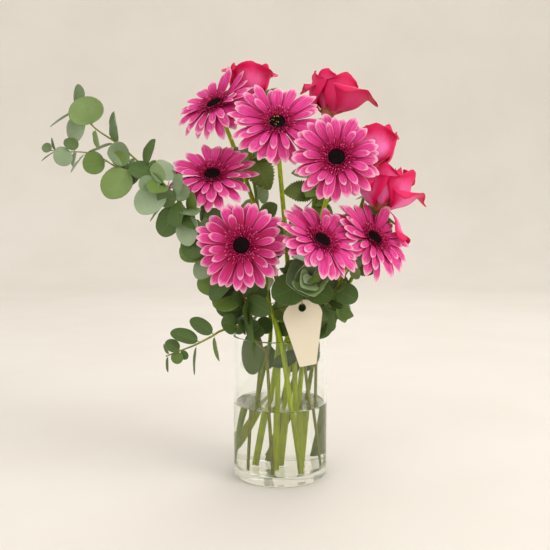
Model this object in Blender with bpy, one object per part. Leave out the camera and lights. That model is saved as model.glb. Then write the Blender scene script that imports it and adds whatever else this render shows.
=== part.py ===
"""A flower arrangement in a glass cylinder vase: gerberas, roses and eucalyptus standing in
water, with a card tag on a twine tie. Metres, +Z up, and the origin is the middle of the
vase's flat underside. The picture side faces -Y."""

import math
import random

import bmesh
import bpy
from mathutils import Matrix, Vector
from mathutils.bvhtree import BVHTree

MM = 0.001
UP = Vector((0.0, 0.0, 1.0))
SEED = 11

# Room left between two neighbouring pieces, and the least room a bent petal or leaf keeps.
GAP = 0.4 * MM
LEAST_ROOM = 0.35 * MM

# Vase and water.
VASE_RADIUS = 60.0 * MM
VASE_HEIGHT = 180.0 * MM
VASE_WALL = 3.0 * MM
VASE_FLOOR = 11.0 * MM
VASE_EDGE = 1.5 * MM
VASE_SIDES = 36
WATER_TOP = 93.5 * MM

# The stems lean past each other as straight lines up to the waist of the bunch, and bend
# from there to their flowers.
WAIST_Z = 160.0 * MM
WAIST_CENTRE = Vector((12.0 * MM, 0.0, 0.0))
WAIST_TWIST = 160.0 * MM
WAIST_RING = {"middle": 0.0, "inner": 18.0 * MM, "outer": 36.0 * MM}
STEM_FOOT = VASE_FLOOR + GAP
WAIST_HANDLE = 50.0 * MM
NECK_HANDLE = 50.0 * MM
GERBERA_STEM = 3.4 * MM
GERBERA_NECK = 2.7 * MM
ROSE_STEM = 2.9 * MM
EUCALYPTUS_STEM = 2.1 * MM
ARM_FOOT = 1.3 * MM
ARM_TAPER = 0.1 * MM
STEM_SIDES = 6
GERBERA_SIDES = 6

# Gerbera head, measured from its underside. The cup that carries it widens from the stem's
# neck, told as shares of its depth and radius.
CUP_DEPTH = 15.0 * MM
CUP_RADIUS = 12.0 * MM
CUP_PROFILE = ((0.6, 0.48), (0.25, 0.86))
HEAD_RADIUS = 14.0 * MM
HEAD_STEP = 1.5 * MM
FRINGE_RADIUS = 12.0 * MM
DISC_SEAT = 9.8 * MM
DISC_RADIUS = 9.0 * MM
DISC_HEIGHT = 3.6 * MM
DISC_PROFILE = ((0.97, 0.0), (1.0, 0.5), (0.6, 1.0))
DISC_SIDES = 10
RAYS_PER_LAYER = 12
RAY_WIDTH = 13.6 * MM
RAY_THICKNESS = 1.0 * MM
# Sections of a ray, as (share of length, share of width).
RAY_SHARES = ((0.5, 0.92), (11 / 12, 0.78))
# The part of a ray nearest its root isn't looked at for room, since it meets its own head.
RAY_ROOT_PART = 0.35
RAY_STEPS = 12
# Each layer of rays leaves the head at this angle in degrees, and bends down along its length.
RAY_RAISE = (4.0, 15.0)
RAY_SAG = 10.0
# Two rows of florets on the rim of the head: how far out and how high their tips stand.
FLORET_ROWS = ((25.5 * MM, 6.0 * MM), (18.5 * MM, 7.0 * MM))

# Rose head. Its hip is the swelling of the stem below the petals, where the sepals grow.
ROSE_PETAL_THICKNESS = 1.0 * MM
ROSE_HIP = 10.0 * MM
ROSE_HIP_RADIUS = 5.4 * MM
SEPAL_REACH = 20.0
SEPAL_FALL = 9.0
SEPAL_WIDTH = 6.0
SEPAL_ROOT = 3.2 * MM

# Tag and twine.
TAG_TURN = math.radians(18.0)
TAG_LEAN = math.radians(6.3)
TAG_HEIGHT = 81.0 * MM
TAG_TOP_WIDTH = 50.0 * MM
TAG_FOOT_WIDTH = 22.0 * MM
TAG_SHOULDER = 20.0 * MM
TAG_THICKNESS = 1.0 * MM
TAG_SIDEWAYS = 15.2 * MM
TAG_FOOT_Z = 150.5 * MM
TAG_HOLE = 5.0 * MM
TAG_HOLE_DOWN = 9.5 * MM
TAG_HOLE_SIDES = 12
TAG_ARC_STEPS = 10
TWINE_RADIUS = 0.7 * MM
TWINE_SIDES = 5
TIE_HEIGHT = 218.5 * MM
TIE_SLOPE = 0.35
TIE_LEVEL_X = 16.0 * MM
TIE_ROOM = 1.3
TIE_STEPS = 24

# Each gerbera: middle of the head, the way it faces, radius, how far its low rays droop, and
# the place of its stem in the waist of the bunch (ring, angle).
GERBERAS = {
    1: ((-81, 2, 468), (-0.37, -0.58, 0.72), 57, 26, ("middle", 0)),
    2: ((-4, -46, 440), (0.00, -0.82, 0.57), 62, 10, ("outer", 97)),
    3: ((63, -85, 397), (-0.02, -0.95, 0.31), 55, 8, ("inner", 288)),
    4: ((-82, -36, 379), (-0.07, -0.70, 0.71), 58, 10, ("inner", 144)),
    5: ((-45, -86, 297), (-0.07, -0.97, 0.25), 57, 6, ("outer", 257)),
    6: ((46, -84, 302), (0.41, -0.63, 0.66), 58, 14, ("inner", 216)),
    7: ((112, -37, 303), (0.48, -0.61, 0.63), 59, 18, ("inner", 0)),
}

# Each rose: foot of the head, the way it faces, radius, how open it is from 0 to 1, turn about
# its own axis in degrees, the petals that have opened away from it (heading, then reach and
# height of the lip as shares of the radius), and the place of its stem. Headings run from the
# right hand towards the back.
ROSES = {
    1: ((-43, 30, 480), (0.08, 0.08, 0.99), 45, 0.55, 20, (), ("outer", 137)),
    2: (
        (60, 20, 457), (0.20, 0.05, 0.98), 51, 0.0, 48,
        ((336, 1.18, 0.40), (188, 0.70, 0.52)), ("inner", 72),
    ),
    3: ((116, 36, 390), (0.10, 0.10, 0.98), 53, 0.20, 10, (), ("outer", 57)),
    4: (
        (127, -2, 336), (0.16, 0.08, 0.98), 53, 0.15, 65,
        ((345, 0.92, 0.24), (200, 0.80, 0.66), (334, 0.50, -0.42)), ("outer", 17),
    ),
}

# Eucalyptus stems above the waist, as points in millimetres. The first stem carries the long
# spray on the left, and its side arm starts from it.
SPRAY_ROUTE = [
    (-36, -30, 205), (-58, -50, 271), (-78, -60, 303), (-106, -64, 332), (-137, -56, 368),
    (-167, -44, 393), (-195, -34, 417), (-225, -26, 437), (-249, -20, 463),
]
ARM_ROUTE = [
    (-155, -49, 384), (-175, -52, 384), (-193, -52, 388), (-215, -46, 401), (-235, -40, 407),
    (-258, -35, 408), (-279, -30, 410),
]
LOW_ROUTE = [
    (-34, -31, 180), (-48, -46, 197), (-70, -62, 195), (-82, -70, 189), (-101, -76, 180),
    (-117, -78, 174), (-135, -78, 167),
]
FRONT_ROUTE = [(16, -36, 205), (23, -46, 232), (31, -76, 256), (35, -106, 264)]
RIGHT_ROUTE = [(48, -28, 205), (60, -40, 232), (72, -50, 252), (82, -56, 268)]
SPRAY_SLOT = ("outer", 177)
LOW_SLOT = ("outer", 217)
FRONT_SLOT = ("outer", 297)
RIGHT_SLOT = ("outer", 337)

# Leaves of each eucalyptus stem: place from 0 at the waist to 1 at the stem's tip, reach from
# root to tip in millimetres, width in millimetres, and turn about the leaf's own middle line
# in degrees.
SPRAY_LEAVES = [
    (1.00, (6, -1, 27), 18, 60), (0.99, (-33, -12, -19), 22, 62), (0.92, (-12, -12, 32), 44, 0),
    (0.95, (-27, 8, -21), 34, 8), (0.91, (-1, 10, -25), 18, 50), (0.82, (-11, 6, 40), 26, -60),
    (0.83, (-38, -10, -12), 26, 64), (0.76, (-3, 5, -15), 10, 20), (0.71, (10, -4, 34), 26, -48),
    (0.73, (-25, -12, -26), 28, 0), (0.66, (-14, -22, -14), 24, 0), (0.69, (21, -10, -31), 26, 52),
    (0.62, (-33, -12, -28), 37, 0), (0.58, (8, -18, 24), 26, -42), (0.57, (2, -20, -30), 28, 40),
    (0.55, (-26, -6, -36), 32, 0), (0.52, (-6, -10, -38), 28, 10), (0.59, (-42, 14, -22), 24, 58),
    (0.50, (3, -4, 30), 22, -50), (0.46, (24, -8, 16), 32, 0), (0.45, (-22, -12, -30), 34, 0),
    (0.47, (11, 14, 28), 24, 56), (0.40, (-46, 2, -14), 34, 0), (0.37, (-34, -8, -30), 30, 10),
    (0.31, (-26, -16, -36), 26, 20), (0.70, (12, 6, 9), 13, 40), (0.28, (-46, -16, -2), 36, 0),
    (0.21, (30, -26, -14), 27, 24), (0.24, (8, 24, 26), 28, 0), (0.16, (-36, 10, 10), 32, 0),
    (0.23, (-30, -22, -14), 34, 0), (0.20, (6, -26, -48), 13, 40), (0.11, (-3, 12, -68), 28, 0),
    (0.34, (20, 26, 16), 30, 0), (0.64, (6, 30, 18), 30, 20), (0.18, (-40, 6, 2), 34, 0),
]
ARM_LEAVES = [
    (0.41, (-27, -8, -5), 31, 0), (0.35, (16, -6, 12), 20, 20), (0.64, (-23, 8, -21), 20, 60),
    (0.77, (-20, -8, -11), 28, 0), (0.75, (-10, 6, 18), 18, 20), (0.73, (-7, 8, -17), 16, 40),
    (0.98, (-11, -2, 6), 13, 0), (0.94, (-18, -4, -11), 12, 60), (0.94, (-8, 4, 16), 10, -62),
    (0.15, (-38, -10, -21), 38, 0), (0.29, (-24, 8, -16), 20, 36),
]
LOW_LEAVES = [
    (0.60, (-27, -4, 20), 20, 20), (0.60, (3, -2, -32), 15, 66), (0.72, (-34, -4, 14), 20, 20),
    (0.75, (-6, -4, -36), 15, 70), (0.88, (-17, -3, 11), 16, 10), (0.89, (-4, -5, -14), 16, 10),
    (0.88, (8, -4, -9), 11, 20), (0.98, (-2, -2, -20), 11, 64), (0.97, (-8, 2, 12), 9, -62),
    (0.38, (-18, -14, 8), 28, 10), (0.36, (-6, 16, 22), 26, 0),
    (0.28, (8, -18, 30), 32, 0),
]
FRONT_LEAVES = [
    (0.95, (2, -9, -34), 42, 0), (0.89, (-34, -8, 6), 42, 0), (0.83, (14, -6, 27), 40, 0),
    (0.77, (-42, -6, -18), 42, 0), (0.71, (30, -2, -18), 32, 0), (0.68, (-20, 4, 30), 34, 0),
    (1.00, (15, -12, 8), 19, 0), (1.00, (-10, -13, -9), 14, 0), (0.46, (-32, 6, 4), 32, 0),
    (0.42, (22, 10, 24), 28, 30), (0.02, (-36, 4, -22), 20, 10),
]
RIGHT_LEAVES = [
    (0.74, (26, -10, -10), 28, 0), (0.56, (-24, -14, -34), 28, 0), (0.72, (-6, -2, 28), 20, 40),
    (0.98, (12, -2, 18), 18, 0), (0.98, (16, 6, -6), 16, 0), (0.20, (-1, -2, -42), 15, 30),
    (0.62, (20, 22, 6), 30, 0),
]

# Leaflets of each rose stem, told the same way but placed from 0 at the stem's foot.
ROSE_LEAVES = {
    1: [(0.97, (38, -4, 38), 24, 0), (0.86, (24, -28, -38), 40, 0), (0.86, (-30, -18, 6), 26, 0),
        (0.64, (24, -30, 4), 34, 0)],
    2: [(0.70, (-30, -36, -8), 34, 0), (0.56, (-10, -40, -10), 36, 0), (0.66, (34, 18, 16), 30, 0)],
    3: [(0.70, (30, 14, 18), 26, 0), (0.60, (-16, 22, 24), 28, 0)],
    4: [(0.66, (28, 14, -12), 26, 0), (0.58, (-8, 30, 12), 26, 0)],
}

# Colours as linear values read by eye from the picture.
RAY_PINK = (0.62, 0.050, 0.210, 1.0)
DISC_DARK = (0.012, 0.008, 0.010, 1.0)
ROSE_RED = (0.75, 0.030, 0.120, 1.0)
STEM_GREEN = (0.160, 0.260, 0.040, 1.0)
ROSE_GREEN = (0.075, 0.150, 0.030, 1.0)
EUCALYPTUS_GREEN = (0.110, 0.190, 0.080, 1.0)
TAG_CREAM = (0.800, 0.690, 0.510, 1.0)
TWINE_BROWN = (0.330, 0.230, 0.070, 1.0)
GLASS_TINT = (0.900, 0.950, 0.900, 1.0)
WATER_TINT = (0.800, 0.880, 0.700, 1.0)


def clear_scene():
    """Remove whatever the file holds before the model is made."""
    for obj in list(bpy.data.objects):
        bpy.data.objects.remove(obj, do_unlink=True)


def mm(point):
    return Vector(point) * MM


def turned(vector, axis, angle):
    return Matrix.Rotation(angle, 3, axis) @ vector


def square_to(vector, axis):
    """The part of a vector that stands square to an axis, at length one."""
    return (vector - axis * vector.dot(axis)).normalized()


def material(name, colour, roughness, transmission=0.0, ior=1.45):
    made = bpy.data.materials.new(name)
    made.use_nodes = True
    shader = made.node_tree.nodes["Principled BSDF"]
    shader.inputs["Base Color"].default_value = colour
    shader.inputs["Roughness"].default_value = roughness
    shader.inputs["Metallic"].default_value = 0.0
    shader.inputs["Transmission Weight"].default_value = transmission
    shader.inputs["IOR"].default_value = ior
    made.diffuse_color = colour
    return made


def mesh_object(name, points, faces, smooth=False):
    """An object from points and faces, with its faces turned outward."""
    mesh = bpy.data.meshes.new(name)
    shape = bmesh.new()
    corners = [shape.verts.new(point) for point in points]
    for face in faces:
        shape.faces.new([corners[index] for index in face])
    bmesh.ops.recalc_face_normals(shape, faces=shape.faces)
    for face in shape.faces:
        face.smooth = smooth
    shape.to_mesh(mesh)
    shape.free()
    obj = bpy.data.objects.new(name, mesh)
    bpy.context.scene.collection.objects.link(obj)
    return obj


class Obstacles:
    """The finished pieces, so that a petal or leaf can be set clear of them."""

    def __init__(self):
        self.trees = {}

    def add(self, obj):
        points = [vertex.co.copy() for vertex in obj.data.vertices]
        faces = [tuple(face.vertices) for face in obj.data.polygons]
        self.trees[obj.name] = BVHTree.FromPolygons(points, faces)

    def clear(self, points, faces, skip=(), others=()):
        """True where this shape crosses no finished piece and comes no nearer than it may."""
        shape = BVHTree.FromPolygons(points, faces)
        trees = [tree for name, tree in self.trees.items() if name not in skip]
        for tree in trees:
            if shape.overlap(tree):
                return False
            for point in points:
                if tree.find_nearest(point, LEAST_ROOM)[0] is not None:
                    return False
        for tree in others:
            if shape.overlap(tree):
                return False
        return True


def fuse(obj, parts):
    """Fuse (points, faces) parts into an object as one body."""
    helpers = bpy.data.collections.new(obj.name + "_parts")
    bpy.context.scene.collection.children.link(helpers)
    for index, (points, faces) in enumerate(parts):
        part = mesh_object(f"{obj.name}_part_{index}", points, faces)
        bpy.context.scene.collection.objects.unlink(part)
        helpers.objects.link(part)
    union = obj.modifiers.new("fuse", "BOOLEAN")
    union.operation = "UNION"
    union.operand_type = "COLLECTION"
    union.collection = helpers
    union.solver = "EXACT"
    graph = bpy.context.evaluated_depsgraph_get()
    fused = bpy.data.meshes.new_from_object(obj.evaluated_get(graph))
    obj.modifiers.clear()
    plain = obj.data
    obj.data = fused
    bpy.data.meshes.remove(plain)
    for part in list(helpers.objects):
        bpy.data.objects.remove(part, do_unlink=True)
    bpy.data.collections.remove(helpers)


def finish(obj, made):
    obj.data.materials.clear()
    obj.data.materials.append(made)
    return obj


def turned_piece(name, profile, sides):
    """A solid turned about Z from (radius, height) points that start and end on the axis."""
    points = []
    rings = []
    for radius, height in profile:
        if radius == 0.0:
            rings.append([len(points)])
            points.append(Vector((0.0, 0.0, height)))
            continue
        rings.append(list(range(len(points), len(points) + sides)))
        for side in range(sides):
            angle = 2 * math.pi * side / sides
            points.append(Vector((radius * math.cos(angle), radius * math.sin(angle), height)))
    faces = []
    for low, high in zip(rings, rings[1:]):
        for side in range(sides):
            after = (side + 1) % sides
            if len(low) == 1:
                faces.append((low[0], high[side], high[after]))
            elif len(high) == 1:
                faces.append((low[side], low[after], high[0]))
            else:
                faces.append((low[side], low[after], high[after], high[side]))
    return mesh_object(name, points, faces, smooth=True)


def make_vase():
    inner = VASE_RADIUS - VASE_WALL
    profile = [
        (0.0, 0.0),
        (VASE_RADIUS - VASE_EDGE, 0.0),
        (VASE_RADIUS, VASE_EDGE),
        (VASE_RADIUS, VASE_HEIGHT),
        (inner, VASE_HEIGHT),
        (inner, VASE_FLOOR + VASE_EDGE),
        (inner - VASE_EDGE, VASE_FLOOR),
        (0.0, VASE_FLOOR),
    ]
    return turned_piece("vase", profile, VASE_SIDES)


def waist_place(slot):
    ring, angle = slot
    radius = WAIST_RING[ring]
    turn = math.radians(angle)
    return Vector((radius * math.cos(turn), radius * math.sin(turn), 0.0))


def lean_place(slot, height):
    """Where a stem of the bunch passes a height below the waist. The whole pattern turns and
    widens at once, which keeps every stem straight and apart from the others."""
    at_waist = waist_place(slot)
    down = (WAIST_Z - height) / WAIST_TWIST
    x = at_waist.x - down * at_waist.y
    y = at_waist.y + down * at_waist.x
    share = (height - STEM_FOOT) / (WAIST_Z - STEM_FOOT)
    place = Vector((x, y, 0.0)) + WAIST_CENTRE * share
    place.z = height
    return place


def bend_route(slot, end, facing):
    """Points from the foot through the waist to the neck of a flower, arriving along the way
    that the flower faces."""
    foot = lean_place(slot, STEM_FOOT)
    waist = lean_place(slot, WAIST_Z)
    lean = (waist - foot).normalized()
    span = (end - waist).length
    first = waist + lean * min(WAIST_HANDLE, span * 0.35)
    second = end - facing * min(NECK_HANDLE, span * 0.4)
    route = [foot, waist]
    for share in (0.16, 0.32, 0.48, 0.64, 0.78, 0.9, 1.0):
        rest = 1.0 - share
        point = waist * rest**3
        point += first * (3 * rest**2 * share)
        point += second * (3 * rest * share**2)
        point += end * share**3
        route.append(point)
    return route


def through_route(slot, points):
    """Points from the foot through the waist and on through a list of points."""
    foot = lean_place(slot, STEM_FOOT)
    waist = lean_place(slot, WAIST_Z)
    return [foot, waist] + [mm(point) for point in points]


def tube(route, radii, sides, level_foot=True):
    """(points, faces) of a tube along a route. A stem's foot is cut level."""
    points = []
    faces = []
    across = None
    for index, place in enumerate(route):
        before = route[max(index - 1, 0)]
        after = route[min(index + 1, len(route) - 1)]
        along = (after - before).normalized()
        if index == 1 and level_foot:
            along = (place - before).normalized()
        if across is None:
            across = square_to(Vector((1.0, 0.3, 0.0)), along)
        across = square_to(across, along)
        side_way = along.cross(across)
        for side in range(sides):
            angle = 2 * math.pi * side / sides
            reach = across * math.cos(angle) + side_way * math.sin(angle)
            point = place + reach * radii[index]
            if index == 0 and level_foot:
                point += along * ((place.z - point.z) / along.z)
            points.append(point)
    for ring in range(len(route) - 1):
        for side in range(sides):
            after = (side + 1) % sides
            low = ring * sides
            high = low + sides
            faces.append((low + side, low + after, high + after, high + side))
    faces.append(tuple(reversed(range(sides))))
    faces.append(tuple(range((len(route) - 1) * sides, len(route) * sides)))
    return points, faces


def loft(rings, tip=None):
    """(points, faces) of a closed blade through rings of four points, in threes so that both
    faces of the blade crease alike, closed by a tip or a last ring."""
    points = [point for ring in rings for point in ring]
    faces = [(3, 2, 1, 0)]
    for ring in range(len(rings) - 1):
        low = ring * 4
        high = low + 4
        for side in range(4):
            after = (side + 1) % 4
            faces.append((low + side, low + after, high + after))
            faces.append((low + side, high + after, high + side))
    last = (len(rings) - 1) * 4
    if tip is None:
        faces.append((last, last + 1, last + 2, last + 3))
    else:
        points.append(tip)
        for side in range(4):
            faces.append((last + side, last + (side + 1) % 4, len(points) - 1))
    return points, faces


def along_route(route, share):
    """The point and direction at a share of a route's length."""
    lengths = [(b - a).length for a, b in zip(route, route[1:])]
    left = share * sum(lengths)
    for a, b, length in zip(route, route[1:], lengths):
        if left <= length or b is route[-1]:
            return a + (b - a) * min(left / length, 1.0), (b - a).normalized()
        left -= length


def leaf_blade(root, reach, width, turn, shape, cup, bow):
    """A blade from a root on the stem. Shape lists (share of length, share of half width)."""
    length = reach.length
    along = reach.normalized()
    upper = square_to(Vector((0.0, -1.0, 0.35)), along)
    upper = turned(upper, along, turn)
    left = upper.cross(along)
    rings = []
    for share, part in shape:
        half = max(part * width / 2, 0.7 * MM)
        thick = 0.45 * MM if part > 0.0 else 0.6 * MM
        middle = root + along * (share * length) - upper * (bow * length * share * share)
        lift = upper * (cup * half)
        rings.append((
            middle + left * half + lift,
            middle + upper * thick,
            middle - left * half + lift,
            middle - upper * thick,
        ))
    return loft(rings, root + along * length - upper * (bow * length))


ROUND_LEAF = ((0.0, 0.0), (0.22, 0.70), (0.55, 1.0), (0.88, 0.62))
SMALL_LEAF = ((0.0, 0.0), (0.42, 1.0), (0.84, 0.62))
TOOTHED_LEAF = (
    (0.0, 0.0), (0.18, 0.10), (0.36, 0.92), (0.42, 0.78), (0.60, 1.0), (0.66, 0.78),
    (0.86, 0.56),
)
SMALL_LEAF_WIDTH = 25
LEAF_ROOT_POINTS = 4
# How far the edges of a leaf stand up, as a share of half its width.
LEAF_CUP = 0.25
TIP_CUP = 0.45
SEPAL = ((0.0, 0.9), (0.45, 1.0))


def settled_leaf(root, entry, shape, obstacles, skip, others=(), cup=LEAF_CUP, bow=0.10):
    """A leaf at its place, swung or shortened by small steps until it is clear."""
    reach, width, turn = entry
    reach = mm(reach)
    sideways = square_to(UP, reach.normalized())
    swing_axes = (sideways, reach.normalized().cross(sideways))
    tries = [(0, 0, 0, 1.0)]
    for size in (1.0, 0.82, 0.66, 0.5):
        for angle in (10, 20, 32, 46):
            for swing, nod in ((1, 0), (-1, 0), (0, 1), (0, -1), (1, 1), (-1, -1)):
                tries.append((swing * angle, nod * angle, nod * angle * 0.5, size))
    for swing, nod, twist, size in tries:
        way = turned(reach, swing_axes[0], math.radians(swing))
        way = turned(way, swing_axes[1], math.radians(nod))
        points, faces = leaf_blade(
            root, way * size, width * MM * size, math.radians(turn + twist), shape, cup, bow
        )
        if obstacles.clear(points, faces, skip, others):
            return points, faces
    if others:
        return settled_leaf(root, entry, shape, obstacles, skip, (), cup, bow)
    return None


def settled_leaves(route, entries, shape, obstacles, skip, cup=LEAF_CUP):
    """Every leaf of a list that finds room on its stem, clear of the stem's other leaves
    beyond their roots where it can be."""
    found = []
    spread = []
    for share, *entry in entries:
        root, along = along_route(route, share)
        leaf_shape = shape
        if shape is ROUND_LEAF and entry[1] < SMALL_LEAF_WIDTH:
            leaf_shape = SMALL_LEAF
        leaf = settled_leaf(root, entry, leaf_shape, obstacles, skip, spread, cup)
        if leaf:
            found.append(leaf)
            points, faces = leaf
            beyond = [face for face in faces if min(face) >= LEAF_ROOT_POINTS]
            spread.append(BVHTree.FromPolygons(points, beyond))
    return found


def make_stem(name, route, radii, sides):
    points, faces = tube(route, radii, sides)
    return mesh_object(name, points, faces, smooth=True)


def gerbera_frame(facing):
    out = Vector(facing).normalized()
    rise = square_to(UP, out)
    return out, rise, rise.cross(out)


def make_gerbera_stem(number):
    middle, facing, radius, droop, slot = GERBERAS[number]
    out = Vector(facing).normalized()
    seat = mm(middle)
    route = bend_route(slot, seat - out * CUP_DEPTH, out)
    radii = [GERBERA_STEM, GERBERA_STEM]
    for step in range(len(route) - 2):
        radii.append(GERBERA_STEM + (GERBERA_NECK - GERBERA_STEM) * step / (len(route) - 3))
    for depth, share in CUP_PROFILE:
        route.append(seat - out * CUP_DEPTH * depth)
        radii.append(CUP_RADIUS * share)
    route.append(seat - out * GAP)
    radii.append(CUP_RADIUS)
    return make_stem(f"gerbera_{number}_stem", route, radii, GERBERA_SIDES)


def ray_rings(root, way, out, side_way, length, raised, sag):
    """The sections of a ray, and its tip. It leaves the head raised and bends down by the sag
    along its length."""
    place = root.copy()
    places = [(place.copy(), raised)]
    for step in range(RAY_STEPS):
        angle = raised - sag * (step + 0.5) / RAY_STEPS
        place += (way * math.cos(angle) + out * math.sin(angle)) * (length / RAY_STEPS)
        places.append((place.copy(), raised - sag * (step + 1) / RAY_STEPS))
    rings = []
    for share, breadth in RAY_SHARES:
        middle, angle = places[round(share * RAY_STEPS)]
        upper = out * math.cos(angle) - way * math.sin(angle)
        half = side_way * (RAY_WIDTH * breadth / 2)
        thick = upper * (RAY_THICKNESS / 2)
        rings.append((
            middle - half - thick,
            middle + half - thick,
            middle + half + thick,
            middle - half + thick,
        ))
    return rings, places[-1][0]


def make_gerbera_bloom(number, obstacles, chance):
    """The head of a gerbera: a low drum with two layers of rays out of its wall and two rows
    of short florets on its rim, all in one body."""
    middle, facing, radius, droop, slot = GERBERAS[number]
    out, rise, right = gerbera_frame(facing)
    seat = mm(middle)
    count = 2 * RAYS_PER_LAYER
    spin = chance.uniform(0.0, 2 * math.pi / RAYS_PER_LAYER)
    points = []

    def heading(place):
        angle = spin + 2 * math.pi * place / count
        return rise * math.cos(angle) + right * math.sin(angle)

    def add(point):
        points.append(point)
        return len(points) - 1

    rings = []
    for reach, height in (
        (HEAD_RADIUS, 0.0),
        (HEAD_RADIUS, HEAD_STEP),
        (HEAD_RADIUS, 2 * HEAD_STEP),
        (FRINGE_RADIUS, 2 * HEAD_STEP),
        (DISC_SEAT, 2 * HEAD_STEP),
    ):
        rings.append([
            add(seat + heading(place) * reach + out * height) for place in range(count)
        ])
    faces = [tuple(rings[0]), tuple(reversed(rings[4]))]
    for row, (reach, height) in enumerate(FLORET_ROWS):
        low, high = rings[2 + row], rings[3 + row]
        for place in range(count):
            after = (place + 1) % count
            tip_reach = reach * chance.uniform(0.93, 1.05)
            tip_height = 2 * HEAD_STEP + height * chance.uniform(0.85, 1.1)
            tip = add(seat + heading(place + 0.5) * tip_reach + out * tip_height)
            corners = (low[place], low[after], high[after], high[place])
            for corner in range(4):
                faces.append((corners[corner], corners[(corner + 1) % 4], tip))
    own = [BVHTree.FromPolygons(points, faces)]
    for place in range(count):
        after = (place + 1) % count
        for layer in (0, 1):
            low, high = rings[layer], rings[layer + 1]
            wall = (low[place], low[after], high[after], high[place])
            if place % 2 != layer:
                faces.append(wall)
                continue
            way = heading(place + 0.5)
            way = turned(way, out, math.radians(chance.uniform(-2.5, 2.5)))
            side_way = way.cross(out)
            fall = max(0.0, -way.dot(rise)) * droop
            raised = RAY_RAISE[layer] + chance.uniform(-2.0, 2.0) - fall * 0.5
            sag = RAY_SAG + chance.uniform(-5.0, 9.0) + fall
            length = (radius * MM - HEAD_RADIUS) * (1.0 - 0.09 * layer)
            length *= chance.uniform(0.94, 1.03)
            root = seat + way * HEAD_RADIUS + out * HEAD_STEP * (layer + 0.5)
            corners = [points[index] for index in wall]
            sections, tip = clear_ray(
                corners, root, way, out, side_way, length, raised, sag, obstacles, own
            )
            before = wall
            for section in sections:
                ring = [add(point) for point in section]
                for corner in range(4):
                    follow = (corner + 1) % 4
                    faces.append((before[corner], before[follow], ring[follow]))
                    faces.append((before[corner], ring[follow], ring[corner]))
                before = ring
            end = add(tip)
            for corner in range(4):
                faces.append((before[corner], before[(corner + 1) % 4], end))
    return mesh_object(f"gerbera_{number}_bloom", points, faces)


def clear_ray(corners, root, way, out, side_way, length, raised, sag, obstacles, own):
    """The sections and tip of a ray, bent by small steps until it crosses nothing."""
    tries = [(0, 0, 1.0)]
    for size in (1.0, 0.86, 0.72, 0.55, 0.4):
        for bend in (5, -5, 10, -10, 16, -16, 23, -23, 31, -31):
            tries.append((bend, 0, size))
            tries.append((bend * 0.4, -bend * 1.6, size))
    for lift, bow, size in tries:
        angles = (math.radians(raised + lift), math.radians(sag + bow))
        sections, tip = ray_rings(root, way, out, side_way, length * size, *angles)
        near = tuple(a + (b - a) * RAY_ROOT_PART for a, b in zip(corners, sections[0]))
        points, faces = loft([near] + sections, tip)
        if obstacles.clear(points, faces, (), own):
            own.append(BVHTree.FromPolygons(points, faces))
            return sections, tip
    print("a ray found no clear place")
    return sections, tip


def make_gerbera_disc(number):
    """The dark button in the middle of a gerbera, a low dome with a flat top."""
    middle, facing, radius, droop, slot = GERBERAS[number]
    out, rise, right = gerbera_frame(facing)
    seat = mm(middle) + out * (2 * HEAD_STEP + GAP)
    sides = DISC_SIDES
    points = []
    faces = []
    for reach, height in DISC_PROFILE:
        for side in range(sides):
            angle = 2 * math.pi * side / sides
            way = rise * math.cos(angle) + right * math.sin(angle)
            points.append(seat + way * DISC_RADIUS * reach + out * DISC_HEIGHT * height)
    for ring in range(2):
        for side in range(sides):
            after = (side + 1) % sides
            low = ring * sides
            high = low + sides
            faces.append((low + side, low + after, high + after, high + side))
    faces.append(tuple(reversed(range(sides))))
    faces.append(tuple(range(2 * sides, 3 * sides)))
    return mesh_object(f"gerbera_{number}_disc", points, faces, smooth=True)


# Rose petals by layer, from the middle out: how many, the first one's heading and half of the
# spread in degrees, and (radius, height) at four levels when shut and when open, as shares of
# the head's radius.
ROSE_LAYERS = (
    (3, 60, 58, ((0.21, 0.20), (0.42, 0.50), (0.42, 0.82), (0.26, 1.12)),
     ((0.21, 0.20), (0.52, 0.44), (0.62, 0.74), (0.66, 0.98))),
    (3, 15, 62, ((0.17, 0.05), (0.50, 0.26), (0.56, 0.66), (0.48, 1.02)),
     ((0.17, 0.05), (0.54, 0.26), (0.68, 0.66), (0.84, 0.98))),
)
# A petal that has opened away from the head: shares of its reach and of its height, by level.
OPENED_PETAL = ((0.0, 0.0), (0.50, 0.26), (0.82, 0.62), (1.0, 1.0))
OPENED_ROOT = (0.17, 0.03)
ROSE_CORE = ((0.17, 0.0), (0.26, 0.20), (0.27, 0.48), (0.17, 0.80))
ROSE_CORE_TIP = 0.94
ROSE_CORE_SIDES = 8
# The levels and columns that the petals are drawn with.
INNER_GRID = ((0, 2, 3), (-1.0, 0.0, 1.0))
OUTER_GRID = ((0, 1, 2, 3), (-1.0, -0.45, 0.0, 0.45, 1.0))
ROSE_GRIDS = (INNER_GRID, OUTER_GRID)
ROSE_SPREAD = (0.26, 0.80, 1.0, 0.78)
PETAL_SWIRL = 0.10
# How far the corners of a petal's lip drop below its point, by layer.
PETAL_CORNER_DROP = (0.14, 0.24)
OPENED_SPREAD = 40.0
OPENED_CORNER_DROP = 0.16


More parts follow.
